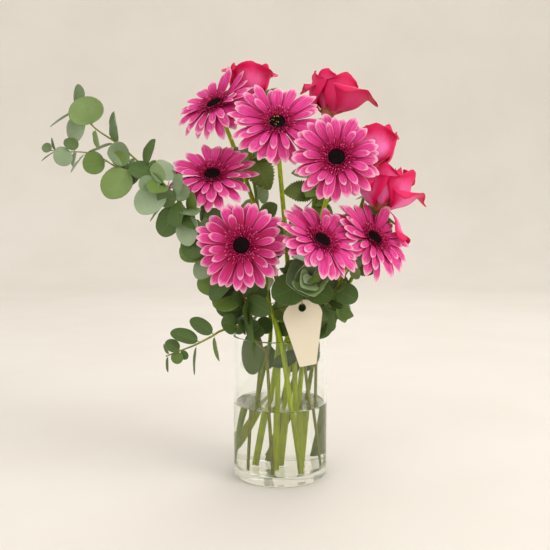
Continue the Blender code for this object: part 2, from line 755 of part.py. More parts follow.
def shell(front, back):
    """(points, faces) of a thin closed petal from two grids of points, creased alike."""
    rows = len(front)
    columns = len(front[0])
    points = [point for row in front for point in row] + [point for row in back for point in row]
    behind = rows * columns
    faces = []
    for row in range(rows - 1):
        for column in range(columns - 1):
            a = row * columns + column
            b, c, d = a + 1, a + columns + 1, a + columns
            faces.append((a, b, c))
            faces.append((a, c, d))
            faces.append((behind + c, behind + b, behind + a))
            faces.append((behind + d, behind + c, behind + a))
    rim = list(range(columns))
    rim += [row * columns + columns - 1 for row in range(1, rows)]
    rim += [(rows - 1) * columns + column for column in range(columns - 2, -1, -1)]
    rim += [row * columns for row in range(rows - 2, 0, -1)]
    for place, a in enumerate(rim):
        b = rim[(place + 1) % len(rim)]
        faces.append((b, a, behind + a))
        faces.append((b, behind + a, behind + b))
    return points, faces


def rose_frame(facing):
    """The axis of a rose head, and the headings of 0 and 90 degrees."""
    out = Vector(facing).normalized()
    first = square_to(Vector((1.0, 0.0, 0.0)), out)
    return out, first, out.cross(first)


def rose_petal(seat, frame, radius, heading, spread, levels, grid, swirl, drop):
    """One petal of a rose, a curved shell that wraps round the axis of the head."""
    out, rise, right = frame

    def place(column, level, off):
        reach, height = levels[level]
        turn = math.radians(heading + spread * ROSE_SPREAD[level] * column)
        way = rise * math.cos(turn) + right * math.sin(turn)
        near = levels[max(level - 1, 0)]
        far = levels[min(level + 1, 3)]
        slope = math.atan2(far[1] - near[1], far[0] - near[0])
        reach = reach * (1.0 + swirl * column)
        if level == 3:
            height -= drop * column * column
        skin = way * math.sin(slope) - out * math.cos(slope)
        return seat + (way * reach + out * height) * radius + skin * off

    half = ROSE_PETAL_THICKNESS / 2
    rows, columns = grid
    front = [[place(column, row, half) for column in columns] for row in rows]
    back = [[place(column, row, -half) for column in columns] for row in rows]
    return shell(front, back)


def make_rose_head(number, obstacles, chance):
    middle, facing, size, openness, twist, opened, slot = ROSES[number]
    frame = rose_frame(facing)
    out, rise, right = frame
    seat = mm(middle)
    radius = size * MM
    sides = ROSE_CORE_SIDES
    points = []
    faces = []
    for reach, height in ROSE_CORE:
        for side in range(sides):
            angle = 2 * math.pi * side / sides
            way = rise * math.cos(angle) + right * math.sin(angle)
            points.append(seat + (way * reach + out * height) * radius)
    for ring in range(len(ROSE_CORE) - 1):
        for side in range(sides):
            after = (side + 1) % sides
            low = ring * sides
            high = low + sides
            faces.append((low + side, low + after, high + after, high + side))
    last = (len(ROSE_CORE) - 1) * sides
    points.append(seat + out * radius * ROSE_CORE_TIP)
    for side in range(sides):
        faces.append((last + side, last + (side + 1) % sides, len(points) - 1))
    faces.append(tuple(reversed(range(sides))))
    head = mesh_object(f"rose_{number}_head", points, faces)
    petals = []
    for layer, (count, first, spread, shut, wide) in enumerate(ROSE_LAYERS):
        for petal in range(count):
            levels = [
                (a[0] + (b[0] - a[0]) * openness, a[1] + (b[1] - a[1]) * openness)
                for a, b in zip(shut, wide)
            ]
            heading = twist + first + 360.0 * petal / count + chance.uniform(-6.0, 6.0)
            grid, drop = ROSE_GRIDS[layer], PETAL_CORNER_DROP[layer]
            petals.append((heading, spread, levels, grid, PETAL_SWIRL, drop))
    for heading, reach, lift in opened:
        first, low = OPENED_ROOT
        levels = [
            (first + (reach - first) * out_share, low + (lift - low) * up_share)
            for out_share, up_share in OPENED_PETAL
        ]
        petals.append((heading, OPENED_SPREAD, levels, OUTER_GRID, 0.0, OPENED_CORNER_DROP))
    parts = []
    for heading, spread, levels, grid, swirl, drop in petals:
        for squeeze in (1.0, 0.93, 0.86, 0.79, 0.72, 0.65):
            drawn = [levels[0]] + [(reach * squeeze, height) for reach, height in levels[1:]]
            part = rose_petal(seat, frame, radius, heading, spread, drawn, grid, swirl, drop)
            if obstacles.clear(*part, (f"rose_{number}_stem",)):
                parts.append(part)
                break
        else:
            print("left out a petal of rose", number, "at", round(heading))
    fuse(head, parts)
    return head


def rose_route(number):
    middle, facing, size, openness, twist, opened, slot = ROSES[number]
    out = Vector(facing).normalized()
    return bend_route(slot, mm(middle) - out * ROSE_HIP, out)


def make_rose_stem(number):
    middle, facing, size, openness, twist, opened, slot = ROSES[number]
    out = Vector(facing).normalized()
    route = rose_route(number)
    radii = [ROSE_STEM, ROSE_STEM]
    radii += [ROSE_STEM * (1.0 - 0.03 * step) for step in range(len(route) - 2)]
    route = route + [mm(middle) - out * ROSE_HIP * 0.5, mm(middle) - out * GAP]
    radii += [ROSE_HIP_RADIUS, ROSE_HIP_RADIUS]
    return make_stem(f"rose_{number}_stem", route, radii, STEM_SIDES)


def dress_rose_stem(number, obstacles):
    """Fuse five sepals and the leaflets into a rose stem."""
    middle, facing, size, openness, twist, opened, slot = ROSES[number]
    out, rise, right = rose_frame(facing)
    name = f"rose_{number}_stem"
    root = mm(middle) - out * SEPAL_ROOT
    parts = []
    for sepal in range(5):
        angle = math.radians(twist + 72.0 * sepal)
        way = rise * math.cos(angle) + right * math.sin(angle)
        reach = way * SEPAL_REACH - out * SEPAL_FALL
        entry = (reach, SEPAL_WIDTH, 0.0)
        leaf = settled_leaf(root, entry, SEPAL, obstacles, (name,), cup=0.1, bow=0.2)
        if leaf:
            parts.append(leaf)
    parts += settled_leaves(rose_route(number), ROSE_LEAVES[number], TOOTHED_LEAF, obstacles, (name,))
    fuse(bpy.data.objects[name], parts)


def tapered(route, wide, thin):
    steps = len(route) - 1
    return [wide] * 2 + [wide + (thin - wide) * step / steps for step in range(2, steps + 1)]


def make_water(slots):
    reach = VASE_RADIUS - VASE_WALL - GAP
    low = VASE_FLOOR + GAP
    profile = [
        (0.0, low),
        (reach - VASE_EDGE, low),
        (reach, low + VASE_EDGE),
        (reach, WATER_TOP),
        (0.0, WATER_TOP),
    ]
    water = turned_piece("water", profile, VASE_SIDES)
    cutters = bpy.data.collections.new("stem_holes")
    bpy.context.scene.collection.children.link(cutters)
    for index, (slot, radius, sides) in enumerate(slots):
        route = [lean_place(slot, low - 3 * MM), lean_place(slot, WATER_TOP + 6 * MM)]
        points, faces = tube(route, [radius + GAP] * 2, sides, level_foot=False)
        cutter = mesh_object(f"stem_hole_{index}", points, faces)
        cutter.hide_render = True
        cutter.display_type = "WIRE"
        bpy.context.scene.collection.objects.unlink(cutter)
        cutters.objects.link(cutter)
    holes = water.modifiers.new("holes", "BOOLEAN")
    holes.operation = "DIFFERENCE"
    holes.operand_type = "COLLECTION"
    holes.collection = cutters
    holes.solver = "EXACT"
    graph = bpy.context.evaluated_depsgraph_get()
    cut = bpy.data.meshes.new_from_object(water.evaluated_get(graph))
    water.modifiers.clear()
    water.data = cut
    for cutter in list(cutters.objects):
        bpy.data.objects.remove(cutter, do_unlink=True)
    bpy.data.collections.remove(cutters)
    return water


def tag_frame():
    """The middle of the tag's foot, the way it faces, its right hand and its upward way."""
    out = Vector((math.sin(TAG_TURN), -math.cos(TAG_TURN), 0.0))
    right = Vector((math.cos(TAG_TURN), math.sin(TAG_TURN), 0.0))
    foot = out * (VASE_RADIUS + GAP + TAG_THICKNESS / 2) + right * TAG_SIDEWAYS
    foot.z = TAG_FOOT_Z
    rise = UP * math.cos(TAG_LEAN) - right * math.sin(TAG_LEAN)
    across = right * math.cos(TAG_LEAN) + UP * math.sin(TAG_LEAN)
    return foot, out, across, rise


def make_tag():
    """A card with a round head, straight sides to a narrow foot, and a hole for the twine."""
    foot, out, across, rise = tag_frame()
    outline = [(-TAG_FOOT_WIDTH / 2, 0.0), (TAG_FOOT_WIDTH / 2, 0.0)]
    for step in range(TAG_ARC_STEPS + 1):
        angle = math.pi * step / TAG_ARC_STEPS
        outline.append((
            TAG_TOP_WIDTH / 2 * math.cos(angle),
            TAG_HEIGHT - TAG_SHOULDER + TAG_SHOULDER * math.sin(angle),
        ))
    half = out * (TAG_THICKNESS / 2)
    count = len(outline)
    points = [foot + across * x + rise * y + half for x, y in outline]
    points += [foot + across * x + rise * y - half for x, y in outline]
    faces = [tuple(range(count)), tuple(reversed(range(count, 2 * count)))]
    for corner in range(count):
        after = (corner + 1) % count
        faces.append((corner, after, count + after, count + corner))
    tag = mesh_object("tag", points, faces)
    middle = foot + rise * (TAG_HEIGHT - TAG_HOLE_DOWN)
    route = [middle - out * 4 * MM, middle + out * 4 * MM]
    shape = tube(route, [TAG_HOLE] * 2, TAG_HOLE_SIDES, level_foot=False)
    cutter = mesh_object("tag_hole", *shape)
    cutter.hide_render = True
    cutter.display_type = "WIRE"
    hole = tag.modifiers.new("hole", "BOOLEAN")
    hole.operation = "DIFFERENCE"
    hole.object = cutter
    hole.solver = "EXACT"
    graph = bpy.context.evaluated_depsgraph_get()
    cut = bpy.data.meshes.new_from_object(tag.evaluated_get(graph))
    tag.modifiers.clear()
    tag.data = cut
    bpy.data.objects.remove(cutter, do_unlink=True)
    return tag


def tie_height(x):
    """The tie slants down to the left of the tag and runs level to the right of it."""
    return TIE_HEIGHT + TIE_SLOPE * min(x, TIE_LEVEL_X)


def tie_crossing(route, radii):
    """Where a stem goes through the surface that the tie lies in, and its radius there."""
    for index in range(len(route) - 1):
        a, b = route[index], route[index + 1]
        over_a = a.z - tie_height(a.x)
        over_b = b.z - tie_height(b.x)
        if over_a < 0.0 <= over_b:
            share = over_a / (over_a - over_b)
            return a + (b - a) * share, radii[index]
    return None


def make_twine(stems):
    """The twine goes once round the outer stems of the bunch, in at the back of the tag's
    hole, and back over the tag's top edge."""
    crossings = [tie_crossing(route, radii) for route, radii in stems]
    crossings = [crossing for crossing in crossings if crossing]
    foot, out, across, rise = tag_frame()
    hold = foot + rise * (TAG_HEIGHT - TAG_HOLE_DOWN + TAG_HOLE - TWINE_RADIUS - GAP)
    room = TWINE_RADIUS + GAP
    over_edge = TAG_HOLE_DOWN - TAG_HOLE + 2 * room
    front = TAG_THICKNESS / 2 + room
    passing = [
        hold - out * 5 * MM,
        hold - out * 1.5 * MM,
        hold + out * front,
        hold + out * front + rise * (over_edge - room),
        hold + rise * (over_edge + 0.4 * MM),
        hold - out * front + rise * (over_edge - room),
        hold - out * 6 * MM + rise * 4 * MM,
    ]
    loop = []
    passed = False
    for step in range(TIE_STEPS):
        angle = 2 * math.pi * step / TIE_STEPS
        way = Vector((math.cos(angle), math.sin(angle), 0.0))
        best = max(crossings, key=lambda item: item[0].dot(way) + item[1])
        if (hold - out * 5 * MM).dot(way) > best[0].dot(way) + best[1]:
            if not passed:
                loop += passing
                passed = True
            continue
        point = best[0] + way * (best[1] * TIE_ROOM + room)
        point.z = tie_height(point.x)
        loop.append(point)
    return closed_tube("twine_tie", loop, TWINE_RADIUS, TWINE_SIDES)


def closed_tube(name, loop, radius, sides):
    points = []
    faces = []
    count = len(loop)
    for index, place in enumerate(loop):
        along = (loop[(index + 1) % count] - loop[index - 1]).normalized()
        across = square_to(UP, along)
        if abs(along.z) > 0.8:
            across = square_to(Vector((0.3, -1.0, 0.0)), along)
        side_way = along.cross(across)
        for side in range(sides):
            angle = 2 * math.pi * side / sides
            points.append(place + (across * math.cos(angle) + side_way * math.sin(angle)) * radius)
    for ring in range(count):
        follow = (ring + 1) % count
        for side in range(sides):
            after = (side + 1) % sides
            faces.append((
                ring * sides + side,
                ring * sides + after,
                follow * sides + after,
                follow * sides + side,
            ))
    return mesh_object(name, points, faces, smooth=True)


EUCALYPTUS = {
    "eucalyptus_spray": (SPRAY_SLOT, SPRAY_ROUTE, SPRAY_LEAVES, 0.9 * MM, LEAF_CUP),
    "eucalyptus_low_sprig": (LOW_SLOT, LOW_ROUTE, LOW_LEAVES, 0.8 * MM, LEAF_CUP),
    "eucalyptus_front_sprig": (FRONT_SLOT, FRONT_ROUTE, FRONT_LEAVES, 1.2 * MM, TIP_CUP),
    "eucalyptus_right_sprig": (RIGHT_SLOT, RIGHT_ROUTE, RIGHT_LEAVES, 1.1 * MM, LEAF_CUP),
}


def dress_eucalyptus(name, route, obstacles, look):
    """Fuse the leaves, and the spray's side arm, into a eucalyptus stem."""
    leaves, cup = EUCALYPTUS[name][2], EUCALYPTUS[name][4]
    parts = settled_leaves(route[1:], leaves, ROUND_LEAF, obstacles, (name,), cup)
    if name == "eucalyptus_spray":
        arm = [mm(point) for point in ARM_ROUTE]
        radii = [ARM_FOOT - ARM_TAPER * step for step in range(len(arm))]
        parts.append(tube(arm, radii, STEM_SIDES, level_foot=False))
        parts += settled_leaves(arm, ARM_LEAVES, ROUND_LEAF, obstacles, (name,))
    stem = bpy.data.objects[name]
    fuse(stem, parts)
    finish(stem, look)
    obstacles.add(stem)


def main():
    clear_scene()
    chance = random.Random(SEED)
    obstacles = Obstacles()
    glass = material("glass", GLASS_TINT, 0.02, transmission=1.0, ior=1.5)
    water_look = material("water", WATER_TINT, 0.02, transmission=1.0, ior=1.33)
    ray_pink = material("gerbera_pink", RAY_PINK, 0.55)
    disc_dark = material("gerbera_dark", DISC_DARK, 0.8)
    rose_red = material("rose_red", ROSE_RED, 0.5)
    stem_green = material("gerbera_green", STEM_GREEN, 0.45)
    rose_green = material("rose_green", ROSE_GREEN, 0.5)
    leaf_green = material("eucalyptus_green", EUCALYPTUS_GREEN, 0.55)
    cream = material("tag_cream", TAG_CREAM, 0.7)
    twine_brown = material("twine_brown", TWINE_BROWN, 0.8)

    obstacles.add(finish(make_vase(), glass))
    holes = []
    stems = []
    for number, entry in GERBERAS.items():
        stem = finish(make_gerbera_stem(number), stem_green)
        obstacles.add(stem)
        holes.append((entry[-1], GERBERA_STEM, GERBERA_SIDES))
        out = Vector(entry[1]).normalized()
        route = bend_route(entry[-1], mm(entry[0]) - out * CUP_DEPTH, out)
        stems.append((route, [GERBERA_STEM] * len(route)))
    for number, entry in ROSES.items():
        obstacles.add(finish(make_rose_stem(number), rose_green))
        holes.append((entry[-1], ROSE_STEM, STEM_SIDES))
        route = rose_route(number)
        stems.append((route, [ROSE_STEM] * len(route)))
    routes = {}
    for name, (slot, points, leaves, thin, cup) in EUCALYPTUS.items():
        route = through_route(slot, points)
        routes[name] = route
        radii = tapered(route, EUCALYPTUS_STEM, thin)
        obstacles.add(finish(make_stem(name, route, radii, STEM_SIDES), leaf_green))
        holes.append((slot, EUCALYPTUS_STEM, STEM_SIDES))
        if slot is not LOW_SLOT:
            stems.append((route, radii))
    obstacles.add(finish(make_water(holes), water_look))
    obstacles.add(finish(make_tag(), cream))
    obstacles.add(finish(make_twine(stems), twine_brown))

    for number in ROSES:
        obstacles.add(finish(make_rose_head(number, obstacles, chance), rose_red))
    # The sprig in front is settled first, and the rays behind it bend round it.
    front = "eucalyptus_front_sprig"
    dress_eucalyptus(front, routes[front], obstacles, leaf_green)
    for number in (3, 5, 6, 2, 4, 7, 1):
        obstacles.add(finish(make_gerbera_bloom(number, obstacles, chance), ray_pink))
        obstacles.add(finish(make_gerbera_disc(number), disc_dark))

    for name in EUCALYPTUS:
        if name != front:
            dress_eucalyptus(name, routes[name], obstacles, leaf_green)
    for number in ROSES:
        dress_rose_stem(number, obstacles)
        stem = bpy.data.objects[f"rose_{number}_stem"]
        finish(stem, rose_green)
        obstacles.add(stem)


main()
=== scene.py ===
"""Looks for a flower arrangement: gerberas, roses and eucalyptus in a glass cylinder of water,
with a blank card tag on a twine tie. Everything is in metres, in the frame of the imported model.
The picture side faces -Y."""

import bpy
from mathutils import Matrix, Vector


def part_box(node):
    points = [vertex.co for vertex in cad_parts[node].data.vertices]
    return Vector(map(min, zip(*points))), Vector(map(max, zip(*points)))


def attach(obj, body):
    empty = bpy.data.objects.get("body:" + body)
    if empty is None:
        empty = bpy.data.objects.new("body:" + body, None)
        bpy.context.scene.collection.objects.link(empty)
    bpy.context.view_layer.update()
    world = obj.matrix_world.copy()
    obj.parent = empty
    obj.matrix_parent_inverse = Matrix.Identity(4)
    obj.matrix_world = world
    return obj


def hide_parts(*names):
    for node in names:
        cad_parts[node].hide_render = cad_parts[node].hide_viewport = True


bl_info = {
    "name": "Flower Arrangement in a Vase",
    "version": (1, 0, 0),
    "blender": (4, 5, 0),
    "location": "View3D > Sidebar > Flowers",
    "description": "Builds gerberas, roses, eucalyptus, vase, water, tag and twine",
    "category": "Object",
}

import math
import random
from collections import namedtuple

import bmesh
import bpy
from bpy.props import FloatProperty, FloatVectorProperty, IntProperty, PointerProperty
from mathutils import Matrix, Vector
from mathutils.bvhtree import BVHTree

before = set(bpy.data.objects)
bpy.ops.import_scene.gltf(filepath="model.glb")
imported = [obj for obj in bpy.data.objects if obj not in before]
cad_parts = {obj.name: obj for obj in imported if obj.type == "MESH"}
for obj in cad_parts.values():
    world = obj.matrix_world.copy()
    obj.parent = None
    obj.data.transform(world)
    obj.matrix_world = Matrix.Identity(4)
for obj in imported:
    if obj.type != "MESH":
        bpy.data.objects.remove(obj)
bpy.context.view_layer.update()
VASE_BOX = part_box("vase")
WATER_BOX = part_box("water")

MM = 0.001
ORIGIN = Vector((0.0, 0.0, 0.0))
UP = Vector((0.0, 0.0, 1.0))
# An axis and two ways square to it: straight up, back, and to the right.
UPRIGHT = (UP, Vector((0.0, 1.0, 0.0)), Vector((1.0, 0.0, 0.0)))
SEED = 29
# The points of a leaf, ray or petal keep this far from the pieces finished before it.
LEAST_ROOM = 0.2 * MM

# The waist of the bunch and the fan of straight stems below it.
WAIST_Z = 160.0 * MM
WAIST_CENTRE = Vector((12.0 * MM, 0.0, 0.0))
WAIST_TWIST = 160.0 * MM
WAIST_RING = {"middle": 0.0, "inner": 18.0 * MM, "outer": 36.0 * MM}
WAIST_HANDLE = 50.0 * MM
NECK_HANDLE = 50.0 * MM
STEM_FOOT = 11.4 * MM
FOOT_LIFT = 1.2 * MM

# Sections of swept blades: thickness as a share of the width, where 1 is a round stem, depth
# of the furrows, strength of the ruffle, and points round the section.
RAY_BLADE = (0.075, 0.055, 0.5, 18)
FLORET_BLADE = (0.26, 0.0, 0.0, 6)
BRACT_BLADE = (0.22, 0.0, 0.0, 8)
THORN_BLADE = (0.6, 0.0, 0.0, 8)
ROUND_LEAF_BLADE = (0.05, 0.0, 0.35, 18)
TOOTHED_LEAF_BLADE = (0.06, 0.0, 0.35, 14)
GERBERA_SECTION = (1.0, 0.0, 0.0, 14)
ROSE_SECTION = (1.0, 0.0, 0.0, 12)
TWIG_SECTION = (1.0, 0.0, 0.0, 10)
STRAND_SECTION = (1.0, 0.0, 0.0, 7)
RUFFLE_SCALE = 95.0

# The vase and its water.
ROUND_SIDES = 128
FOOT_EDGE = 1.5 * MM
FLOOR_FILLET = 3.5 * MM
WATER_OVERLAP = 0.12 * MM
# How the water creeps up the glass: millimetres in from the wall, and up from its top edge.
MENISCUS = (
    (0.0, -1.0), (0.0, -0.2), (0.25, 0.0), (0.9, -0.75), (2.0, -1.15), (4.0, -1.3), (5.0, -1.3),
)
GLASS_IOR = 1.37
WATER_IOR = 1.33

# Gerbera stems and heads.
GERBERA_STEM = 3.4 * MM
CUP_DEPTH = 15.0 * MM
CUP_RADIUS = 12.0 * MM
# The cup from its foot up: place below the head and radius, as shares of the two above.
CUP_LEVELS = ((0.80, 0.30), (0.62, 0.50), (0.42, 0.74), (0.2, 0.90), (0.04, 0.96))
# Rows of bracts on the cup: how many, place of foot and tip, and how far out the tip stands.
BRACT_ROWS = ((13, 0.86, 0.10, 1.04), (15, 0.62, -0.02, 1.10))
BRACT_FOOT = 0.26
BRACT_LEVELS = (0.0, 0.3, 0.6, 0.85, 1.0)
BRACT_HALVES = [1.0 * MM, 1.7 * MM, 1.6 * MM, 1.0 * MM, 0.15 * MM]
HEAD_RADIUS = 13.0 * MM
HEAD_HEIGHT = 3.0 * MM
# The heads in front open first, and those behind keep clear of them.
HEAD_ORDER = (3, 5, 6, 2, 4, 7, 1)
# The head whose disc is dusted with pollen.
DUSTY_HEAD = 2
RAY_ROOT = 11.0 * MM
# How far the random shades of one head's rays spread.
RAY_TONES = 0.58
# In the shorter layer, rays that point up more than this are mostly left out.
SHORT_RAY_RISE = 0.25
SHORT_RAY_CHANCE = 0.3
# Layers of rays, from the back: raise in degrees, height of the root, length, count, width.
RAY_LAYERS = (
    (4.0, 0.9 * MM, 1.0, 1.0, 1.0),
    (12.0, 2.2 * MM, 0.93, 1.0, 1.0),
    (20.0, 2.9 * MM, 0.68, 0.95, 0.72),
)
RAY_SAG = 10.0
RAY_FINE_STEPS = 40
# A ring this far inside each end of a flat or straight face keeps its shading true.
HOLD = 0.5 * MM

# Outlines of rays and florets as (share of length, share of half width).
RAY_OUTLINE = (
    (0.0, 0.34), (0.12, 0.44), (0.25, 0.61), (0.40, 0.82), (0.55, 0.96), (0.68, 1.0),
    (0.79, 0.94), (0.87, 0.79), (0.93, 0.57), (0.97, 0.33), (1.0, 0.05),
)
FLORET_OUTLINE = ((0.0, 0.5), (0.3, 0.8), (0.6, 1.0), (0.85, 0.75), (1.0, 0.15))
# Rows of florets: how many, root radius, length, raise in degrees.
FLORET_ROWS = (
    (50, 12.0 * MM, 13.2 * MM, 25.0), (48, 11.6 * MM, 10.8 * MM, 35.0),
    (44, 11.0 * MM, 8.4 * MM, 47.0), (38, 10.2 * MM, 6.2 * MM, 60.0),
    (32, 9.4 * MM, 4.6 * MM, 74.0),
)
FLORET_SAG = math.radians(16.0)
FLORET_WIDTH = 2.1 * MM
# The plain disc under the florets, in metres.
BASE_PROFILE = (
    (0.0, 0.3 * MM), (HEAD_RADIUS - 1.0 * MM, 0.3 * MM), (HEAD_RADIUS, 1.4 * MM),
    (HEAD_RADIUS - 1.2 * MM, HEAD_HEIGHT - 0.2 * MM), (0.0, HEAD_HEIGHT - 0.2 * MM),
)
DISC_RADIUS = 9.0 * MM
# The dome under the buds: share of the disc's radius, and millimetres up.
DOME_PROFILE = ((0.0, 0.0), (1.0, 0.0), (1.0, 0.9), (0.8, 1.7), (0.5, 2.3), (0.0, 2.5))
DISC_BUDS = 110
GOLDEN_ANGLE = math.radians(137.508)

# Painted shade: leaves below this height are painted darker, as if in the shade of the flowers,
# and over this rise the painted shade fades out. The last value is the share of its random shade
# that a leaf keeps at the foot of the bunch.
NECK_TOP = 215.0 * MM
BRIGHT_RISE = 90.0 * MM
LEAST_PAINTED_LIGHT = 0.30

# Rose heads and stems.
ROSE_STEM = 2.9 * MM
ROSE_NODES = (3, 8, 14, 20)
NODE_SWELL = 1.16
# Places of the thorns along the stem, and of the hip as shares of ROSE_HIP below the head.
THORNS = (0.22, 0.34, 0.47, 0.58, 0.70)
HIP_LEVELS = (0.75, 0.45, 0.04)
ROSE_HIP = 10.0 * MM
HIP_RADII = (3.9 * MM, 5.4 * MM, 5.2 * MM)
SEPALS = 5
PETAL_THICKNESS = 0.7 * MM
# How far the random shades of one rose's petals spread.
PETAL_TONES = 0.3
# The bud within the petals: radius and height, as shares of the head's radius.
BUD_PROFILE = ((0.0, 0.0), (0.15, 0.0), (0.20, 0.12), (0.19, 0.42), (0.12, 0.72), (0.0, 0.86))
# A petal with no room is drawn in by these shares in turn, and the last one stays.
PETAL_TRIES = (1.0, 0.94, 0.88, 0.82, 0.76, 0.7, 0.62)

# Swing and nod in degrees, and size, of each try at a leaf, from its own place outwards.
LEAF_TRIES = [(0, 0, 1.0)] + [
    (swing * angle, nod * angle, size)
    for size in (1.0, 0.82, 0.66, 0.5)
    for angle in (10, 20, 32, 46)
    for swing, nod in ((1, 0), (-1, 0), (0, 1), (0, -1), (1, 1), (-1, -1))
]
# Lift and sag in degrees, and size, of each try at a ray.
RAY_TRIES = [(0, 0, 1.0)] + [
    (bend * lift, bend * sag, size)
    for size in (1.0, 0.88, 0.76, 0.6, 0.45)
    for bend in (4, -4, 8, -8, 13, -13, 19, -19, 26, -26, 34, -34)
    for lift, sag in ((1, 0), (0.4, -1.5))
]
# Places along a leaf's middle line from its root to its tip.
TOOTH_STATIONS = tuple([0.0, 0.14] + [0.18 + 0.82 * step / 22 for step in range(23)])
ROUND_STATIONS = (0.0, 0.10, 0.14, 0.20, 0.30, 0.42, 0.55, 0.68, 0.80, 0.89, 0.95, 0.985, 1.0)
LEAF_STALK = 0.10
LEAF_BOW = 0.10
LEAF_CUP = 0.2

# Tag and tie.
TAG_TURN = math.radians(18.0)
TAG_LEAN = math.radians(6.3)
TAG_HEIGHT = 81.0 * MM
TAG_TOP_WIDTH = 50.0 * MM
TAG_FOOT_WIDTH = 22.0 * MM
TAG_SHOULDER = 20.0 * MM
TAG_THICKNESS = 1.0 * MM
TAG_SIDEWAYS = 15.2 * MM
TAG_FOOT_Z = 150.5 * MM
TAG_OFF_AXIS = 60.9 * MM
TAG_HOLE = 5.0 * MM
TAG_HOLE_DOWN = 9.5 * MM
TIE_HEIGHT = 218.5 * MM
TIE_SLOPE = 0.35
TIE_LEVEL_X = 16.0 * MM
TAG_CORNER = 0.9 * MM
TAG_EDGE = 0.12 * MM
TAG_STEPS = 48
# A way along which no two corners, edges or faces of the tag are level.
TAG_ORDER = Vector((0.61, 0.23, 0.76))
HOLE_STEPS = 32
TIE_ROOM = 1.3
TIE_STEPS = 24
# Half the thickness of the twine, and the air between it and what it passes.
TIE_CORD = 0.7 * MM
TIE_GAP = 0.4 * MM
TWIG_RADIUS = 2.0 * MM
# Steps along a strand, and the length over which it turns once about the other.
STRAND_STEP = 0.8 * MM
STRAND_LAY = 3.2 * MM

# Fixed colours of the materials, beside those in the settings.
FLORET_FOOT = (0.10, 0.002, 0.012, 1.0)
DISC_GLEAM = (0.020, 0.005, 0.007, 1.0)
POLLEN = (0.55, 0.42, 0.06, 1.0)
GERBERA_STEM_DARK = (0.16, 0.25, 0.045, 1.0)
ROSE_STEM_DARK = (0.10, 0.13, 0.03, 1.0)
TWIG_DARK = (0.16, 0.10, 0.045, 1.0)
STEM_BLOTCH = (0.22, 0.13, 0.04, 1.0)
VELVET = (0.55, 0.004, 0.070, 1.0)
PETAL_RIM = (0.60, 0.006, 0.050, 1.0)
PETAL_FOOT = (0.42, 0.30, 0.10, 1.0)
# The lighter green of rose leaves is partly painted light, laid on leaves high in the bunch.
ROSE_LEAF_LIGHT = (0.145, 0.26, 0.035, 1.0)
ROSE_LEAF_VEIN = (0.20, 0.28, 0.09, 1.0)
ROSE_LEAF_BACK = (0.17, 0.24, 0.11, 1.0)
GUM_FRESH = (0.20, 0.31, 0.050, 1.0)
GUM_YOUNG = (0.15, 0.25, 0.030, 1.0)
GUM_RIB = (0.34, 0.40, 0.15, 1.0)
GUM_VEIN = (0.26, 0.34, 0.14, 1.0)
GUM_SPECKLE = (0.045, 0.075, 0.022, 1.0)
GUM_BACK = (0.30, 0.38, 0.25, 1.0)
GUM_EDGE = (0.34, 0.36, 0.20, 1.0)
CARD_CLOUD = (0.86, 0.76, 0.59, 1.0)
CARD_FLECK = (0.62, 0.50, 0.34, 1.0)
FIBRE_DARK = (0.16, 0.10, 0.03, 1.0)
FIBRE_LIGHT = (0.50, 0.38, 0.16, 1.0)

# The studio: lamps by name, place, size, share of the key light's strength, and colour.
LAMPS = (
    ("key", (1.5, -0.9, 1.5), 1.3, 1.0, (1.0, 0.97, 0.93)),
    ("fill", (-1.5, -1.5, 1.2), 1.6, 0.42, (0.96, 0.98, 1.0)),
    ("back", (0.5, 1.6, 1.8), 1.4, 0.45, (1.0, 0.98, 0.95)),
)
LAMP_AIM = Vector((0.0, 0.0, 0.28))
SKY_COLOUR = (1.0, 0.975, 0.94, 1.0)
CAMERA_PLACE = (-0.0067, -0.9036, 0.3385)
CAMERA_LENS = 46.67
CAMERA_TILT = 5.23

# Each gerbera: middle of the head, the way it faces, radius, how far its low rays droop, the
# place of its stem in the waist of the bunch (ring, angle), and how pale its darkest ray is.
Gerbera = namedtuple("Gerbera", "middle facing radius droop slot tone")
GERBERAS = {
    1: Gerbera((-81, 2, 468), (-0.37, -0.58, 0.72), 57, 26, ("middle", 0), 0.30),
    2: Gerbera((-4, -46, 440), (0.00, -0.82, 0.57), 62, 10, ("outer", 97), 0.28),
    3: Gerbera((63, -85, 397), (-0.02, -0.95, 0.31), 55, 8, ("inner", 288), 0.16),
    4: Gerbera((-82, -36, 379), (-0.07, -0.70, 0.71), 58, 10, ("inner", 144), 0.28),
    5: Gerbera((-45, -86, 297), (-0.07, -0.97, 0.25), 57, 6, ("outer", 257), -0.22),
    6: Gerbera((46, -84, 302), (0.41, -0.63, 0.66), 58, 14, ("inner", 216), 0.42),
    7: Gerbera((112, -37, 303), (0.48, -0.61, 0.63), 59, 18, ("inner", 0), 0.46),
}

# Each rose: foot of the head, the way it faces, radius, how open it is from 0 to 1, turn about
# its own axis in degrees, the petals that have opened away from it (heading, then reach and
# height of the lip as shares of the radius), the place of its stem, and how pale the blush of
# its darkest petal is. Headings run from the right hand towards the back.
Rose = namedtuple("Rose", "middle facing size openness twist opened slot tone")
ROSES = {
    1: Rose((-41, 30, 479), (0.08, 0.08, 0.99), 41, 0.55, 20, (), ("outer", 137), 0.30),
    2: Rose(
        (60, 20, 457), (0.20, 0.05, 0.98), 51, 0.0, 48,
        ((318, 1.06, 0.66), (188, 0.70, 0.66)), ("inner", 72), 0.02,
    ),
    3: Rose((116, 36, 390), (0.10, 0.10, 0.98), 53, 0.20, 10, (), ("outer", 57), 0.75),
    4: Rose(
        (127, -2, 336), (0.16, 0.08, 0.98), 53, 0.15, 65,
        ((322, 0.94, 0.50), (200, 0.80, 0.66), (338, 0.66, -0.46)), ("outer", 17), 0.75,
    ),
}

